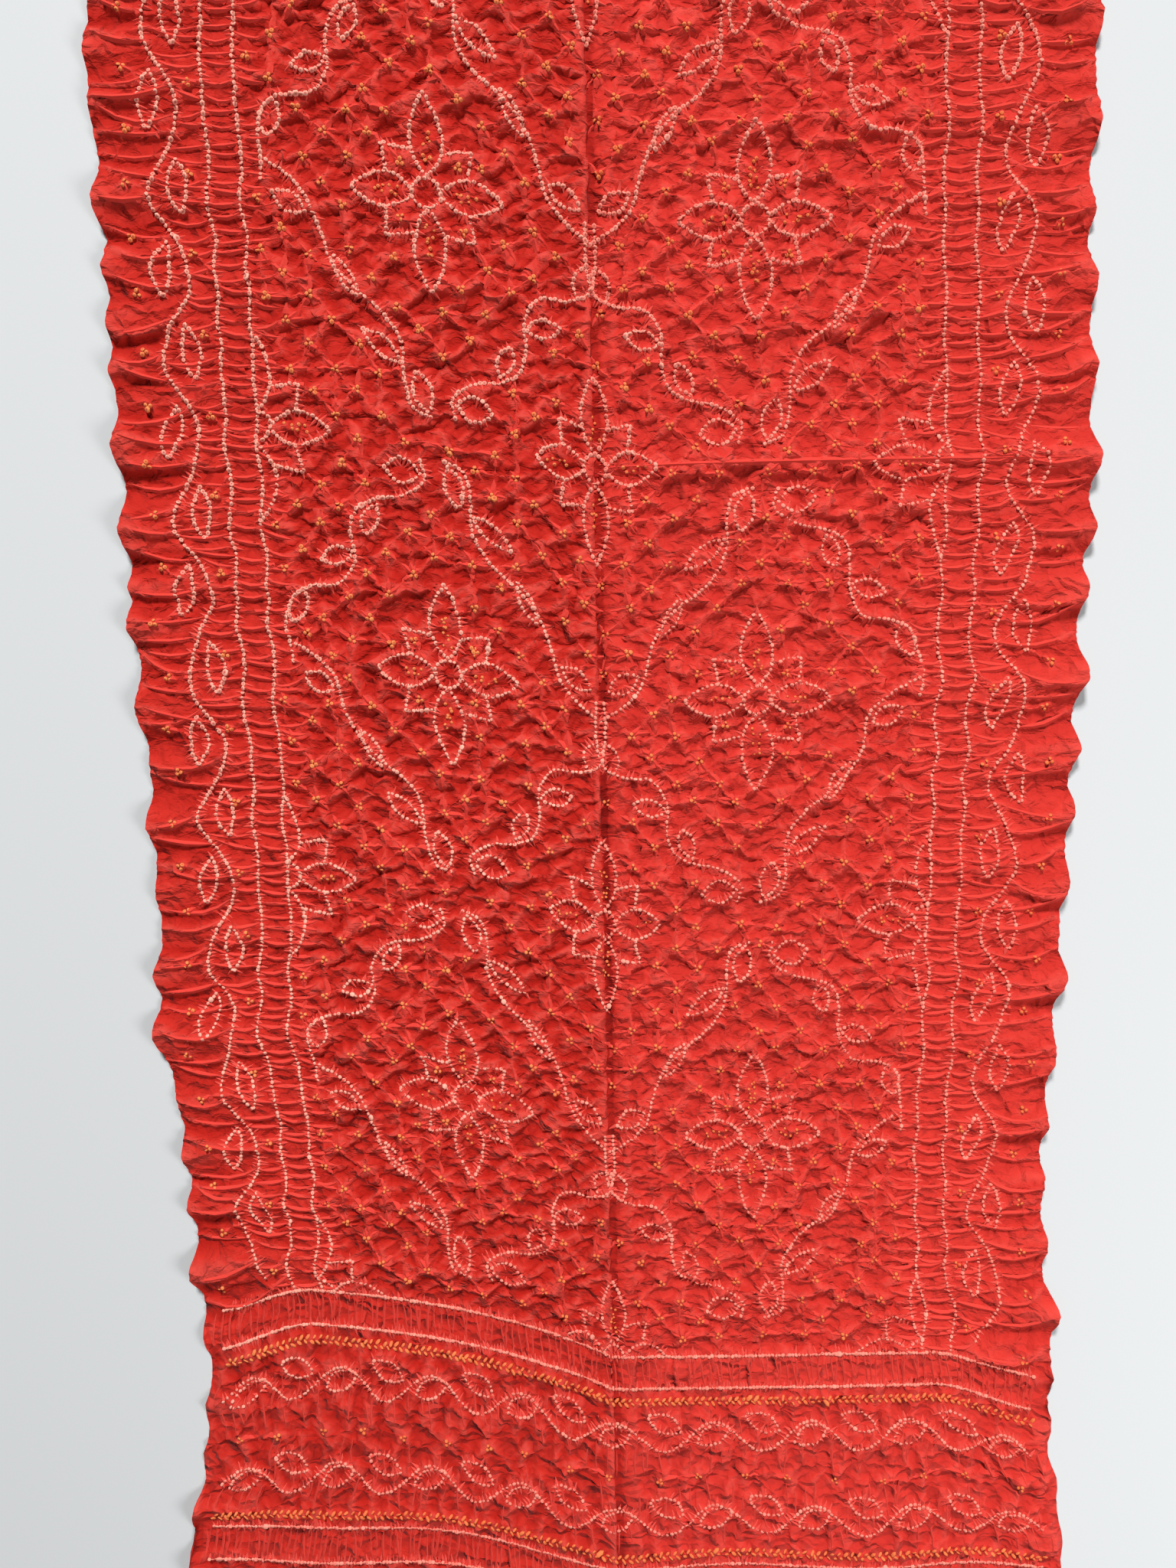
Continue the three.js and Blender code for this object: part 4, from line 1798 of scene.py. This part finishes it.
@dataclass
class SharpCreases:
    """The sharp crests of ridges and the pleats across dotted lines, swept along their paths on the cloth."""

    ground: Ground
    sides: int = 3
    spread: float = 2.1
    height: float = 1.0

    def tree(self) -> NodeTree:
        """The Geometry Nodes tree that sweeps a low roof along each path.

        Returns:
            The tree, with named inputs for the roof's section and its finish.
        """
        inputs = {"Geometry": "Geometry", "Sides": "Int", "Section": "Vector", "Finish": "Material"}
        pen = started("sharp_creases", "Geometry", inputs, {"Geometry": "Geometry"})
        came = pen.add("NodeGroupInput").outputs
        curves = pen.add("GeometryNodeMeshToCurve", Mesh=came["Geometry"]).outputs[0]
        upright = pen.add("GeometryNodeSetCurveNormal", {"mode": "Z_UP"}, Curve=curves).outputs[0]
        outline = pen.add("GeometryNodeCurvePrimitiveCircle", Resolution=came["Sides"], Radius=1.0).outputs[0]
        ridge_up = (0.0, 0.0, -0.5 * math.pi)
        roof = pen.add("GeometryNodeTransform", Geometry=outline, Rotation=ridge_up, Scale=came["Section"])
        swept = pen.add(
            "GeometryNodeCurveToMesh", Curve=upright, Profile_Curve=roof.outputs[0], Scale=pen.named("girth"),
            Fill_Caps=True,
        ).outputs[0]
        faceted = pen.add("GeometryNodeSetShadeSmooth", Geometry=swept, Shade_Smooth=False).outputs[0]
        real = pen.add("GeometryNodeRealizeInstances", Geometry=faceted).outputs[0]
        dressed = pen.add("GeometryNodeSetMaterial", Geometry=real, Material=came["Finish"]).outputs[0]
        pen.add("NodeGroupOutput", Geometry=dressed)
        return pen.tree

    def build(self, name: str, crests: list[Crest], tree: NodeTree, finish: Material) -> Object:
        """Sweeps one piece's creases.

        Args:
            name: the piece's name.
            crests: the creases on the flat pattern.
            tree: the Geometry Nodes tree.
            finish: their finish.

        Returns:
            The piece as a plain mesh.
        """
        places = self.ground.under(np.vstack([crest.path for crest in crests]))[0]
        girth = np.concatenate([crest.widths() for crest in crests])
        places[:, 2] = np.maximum(places[:, 2], 0.5 * girth * MM)
        edges = []
        first = 0
        for crest in crests:
            edges += [(at, at + 1) for at in range(first, first + len(crest.path) - 1)]
            first += len(crest.path)
        mesh = bpy.data.meshes.new(name)
        mesh.from_pydata(places.tolist(), edges, [])
        stored(mesh, "girth", girth * MM)
        values = {"Sides": self.sides, "Section": (self.height, self.spread, 1.0), "Finish": finish}
        return set_out(name, mesh, tree, values)


@dataclass(frozen=True)
class Lamp:
    """A soft square light that faces the cloth: where it hangs, its side and its power in watts."""

    name: str
    place: Triple
    size: float
    power: float

    def hang(self) -> None:
        """Hangs it in the scene."""
        light = bpy.data.lights.new(self.name, "AREA")
        light.size = self.size
        light.energy = self.power
        hung = linked(self.name, light)
        hung.location = self.place
        hung.rotation_euler = (-Vector(self.place)).to_track_quat("-Z", "Y").to_euler()


@dataclass
class Studio:
    """A plain pale floor, soft light from the head of the cloth and the camera over it."""

    floor_half: float = 4.0
    floor_colour: Colour = (0.64, 0.655, 0.66, 1.0)
    floor_roughness: float = 0.9
    key: Lamp = Lamp("key", (-0.7, 5.2, 4.2), 1.0, 585.0)
    fill: Lamp = Lamp("fill", (1.3, -0.9, 1.3), 0.8, 20.0)
    air_colour: Colour = (0.95, 0.97, 1.0, 1.0)
    air_strength: float = 0.11
    aim: Pair = (-0.0164, -0.068)
    distance: float = 0.831
    lean: float = 7.5
    roll: float = 1.32
    lens: float = 27.04
    sensor: float = 36.0

    def floor(self) -> Object:
        """Makes the floor.

        Returns:
            The floor, which is stage.
        """
        half = self.floor_half
        mesh = bpy.data.meshes.new("floor")
        corners = [(-half, -half, 0), (half, -half, 0), (half, half, 0), (-half, half, 0)]
        mesh.from_pydata(corners, [], [(0, 1, 2, 3)])
        made = bpy.data.materials.new("pale_floor")
        made.use_nodes = True
        shader = made.node_tree.nodes["Principled BSDF"]
        shader.inputs["Base Color"].default_value = self.floor_colour
        shader.inputs["Roughness"].default_value = self.floor_roughness
        mesh.materials.append(made)
        piece = linked("floor", mesh)
        return piece

    def camera(self) -> None:
        """Sets the camera over the cloth, leaning from its head and turned a little."""
        lean = math.radians(self.lean)
        turn = Matrix.Rotation(math.radians(-self.roll), 3, "Z")
        away = turn @ Vector((0.0, math.sin(lean), math.cos(lean)))
        up = turn @ Vector((0.0, math.cos(lean), -math.sin(lean)))
        right = up.cross(away)
        seen = bpy.data.cameras.new("camera")
        seen.lens = self.lens
        seen.sensor_width = self.sensor
        frame = Matrix((right, up, away)).transposed().to_4x4()
        frame.translation = Vector((*self.aim, 0.0)) + self.distance * away
        held = linked("camera", seen)
        held.matrix_world = frame
        bpy.context.scene.camera = held

    def set_up(self) -> None:
        """Builds the floor, the lights, the air's light and the camera."""
        self.floor()
        self.key.hang()
        self.fill.hang()
        scene = bpy.context.scene
        world = bpy.data.worlds.new("air")
        world.use_nodes = True
        air = world.node_tree.nodes["Background"]
        air.inputs["Color"].default_value = self.air_colour
        air.inputs["Strength"].default_value = self.air_strength
        scene.world = world
        scene.view_settings.view_transform = "Standard"
        self.camera()


def main() -> None:
    """Builds the stole and its setting, and reports each piece."""
    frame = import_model()
    Studio().set_up()
    chart = StoleChart()
    lay = Lay(frame["nodes"]["cloth"], chart)
    rough = CrinkledCloth(chart, lay, columns=193, close_rows=2.6, far_rows=5.2, iterations=200, bend=0.05)
    rough.relax()
    cloth = CrinkledCloth(chart, lay)
    cloth.relax(rough)
    effects = DyeEffects()
    sheet = cloth.build(ClothFinish(effects))
    LOG.info("%s: %d faces", sheet.name, len(sheet.data.polygons))
    ground = Ground(lay, sheet)
    dots, middles = chart.dots()
    line = dots[Knot.LINE]
    dyes = {
        "undyed_dot": ((0.95, 0.46, 0.345, 1.0), (0.86, 0.19, 0.14, 1.0)),
        "orange_dot": ((0.86, 0.28, 0.095, 1.0), (0.78, 0.15, 0.05, 1.0)),
        # The crest and pucker finishes are lighter copies of the cloth's red: painted highlight on the
        # ridges.
        "drawn_crease": ((0.66, 0.052, 0.038, 1.0), (0.74, 0.085, 0.065, 1.0)),
        "drawn_line": ((0.70, 0.075, 0.056, 1.0), (0.80, 0.13, 0.10, 1.0)),
    }
    made = [DotFinish(effects, name, kept, stained).material() for name, (kept, stained) in dyes.items()]
    pale, orange, drawn, drawn_line = made
    central = (np.abs(line[:, 0]) < chart.inner_line - 4) & (np.abs(line[:, 1]) < chart.first_line)
    ties = TiedDots(ground)
    sets = {
        "field_dots": (ties.broad, {Knot.LINE: line[central]}, pale),
        "border_dots": (ties.broad, {Knot.LINE: line[~central], Knot.FINE: dots[Knot.FINE]}, pale),
        "orange_dots": (ties.round, {kind: dots[kind] for kind in (Knot.CLUSTER, Knot.PETAL)}, orange),
        "braid_dots": (ties.long, {Knot.BRAID: dots[Knot.BRAID]}, orange),
    }
    studs = ties.tree()
    pieces = [
        ties.build(name, stud, *ties.knots(kinds), studs, finish)
        for name, (stud, kinds, finish) in sets.items()
    ]
    crests = CrestChart(chart)
    creases = SharpCreases(ground)
    sweep = creases.tree()
    pleated = np.vstack((line, dots[Knot.FINE]))
    # The crests and puckers take the lighter red of painted highlight.
    pieces.append(creases.build("ridge_crests", crests.sharp(middles, line[:, :2]), sweep, drawn))
    pieces.append(creases.build("line_puckers", crests.puckers(pleated), sweep, drawn_line))
    for piece in (sheet, *pieces):
        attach(piece, "root")
        LOG.info("%s: %d faces", piece.name, len(piece.data.polygons))
    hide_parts("cloth")


if __name__ == "__main__":
    main()
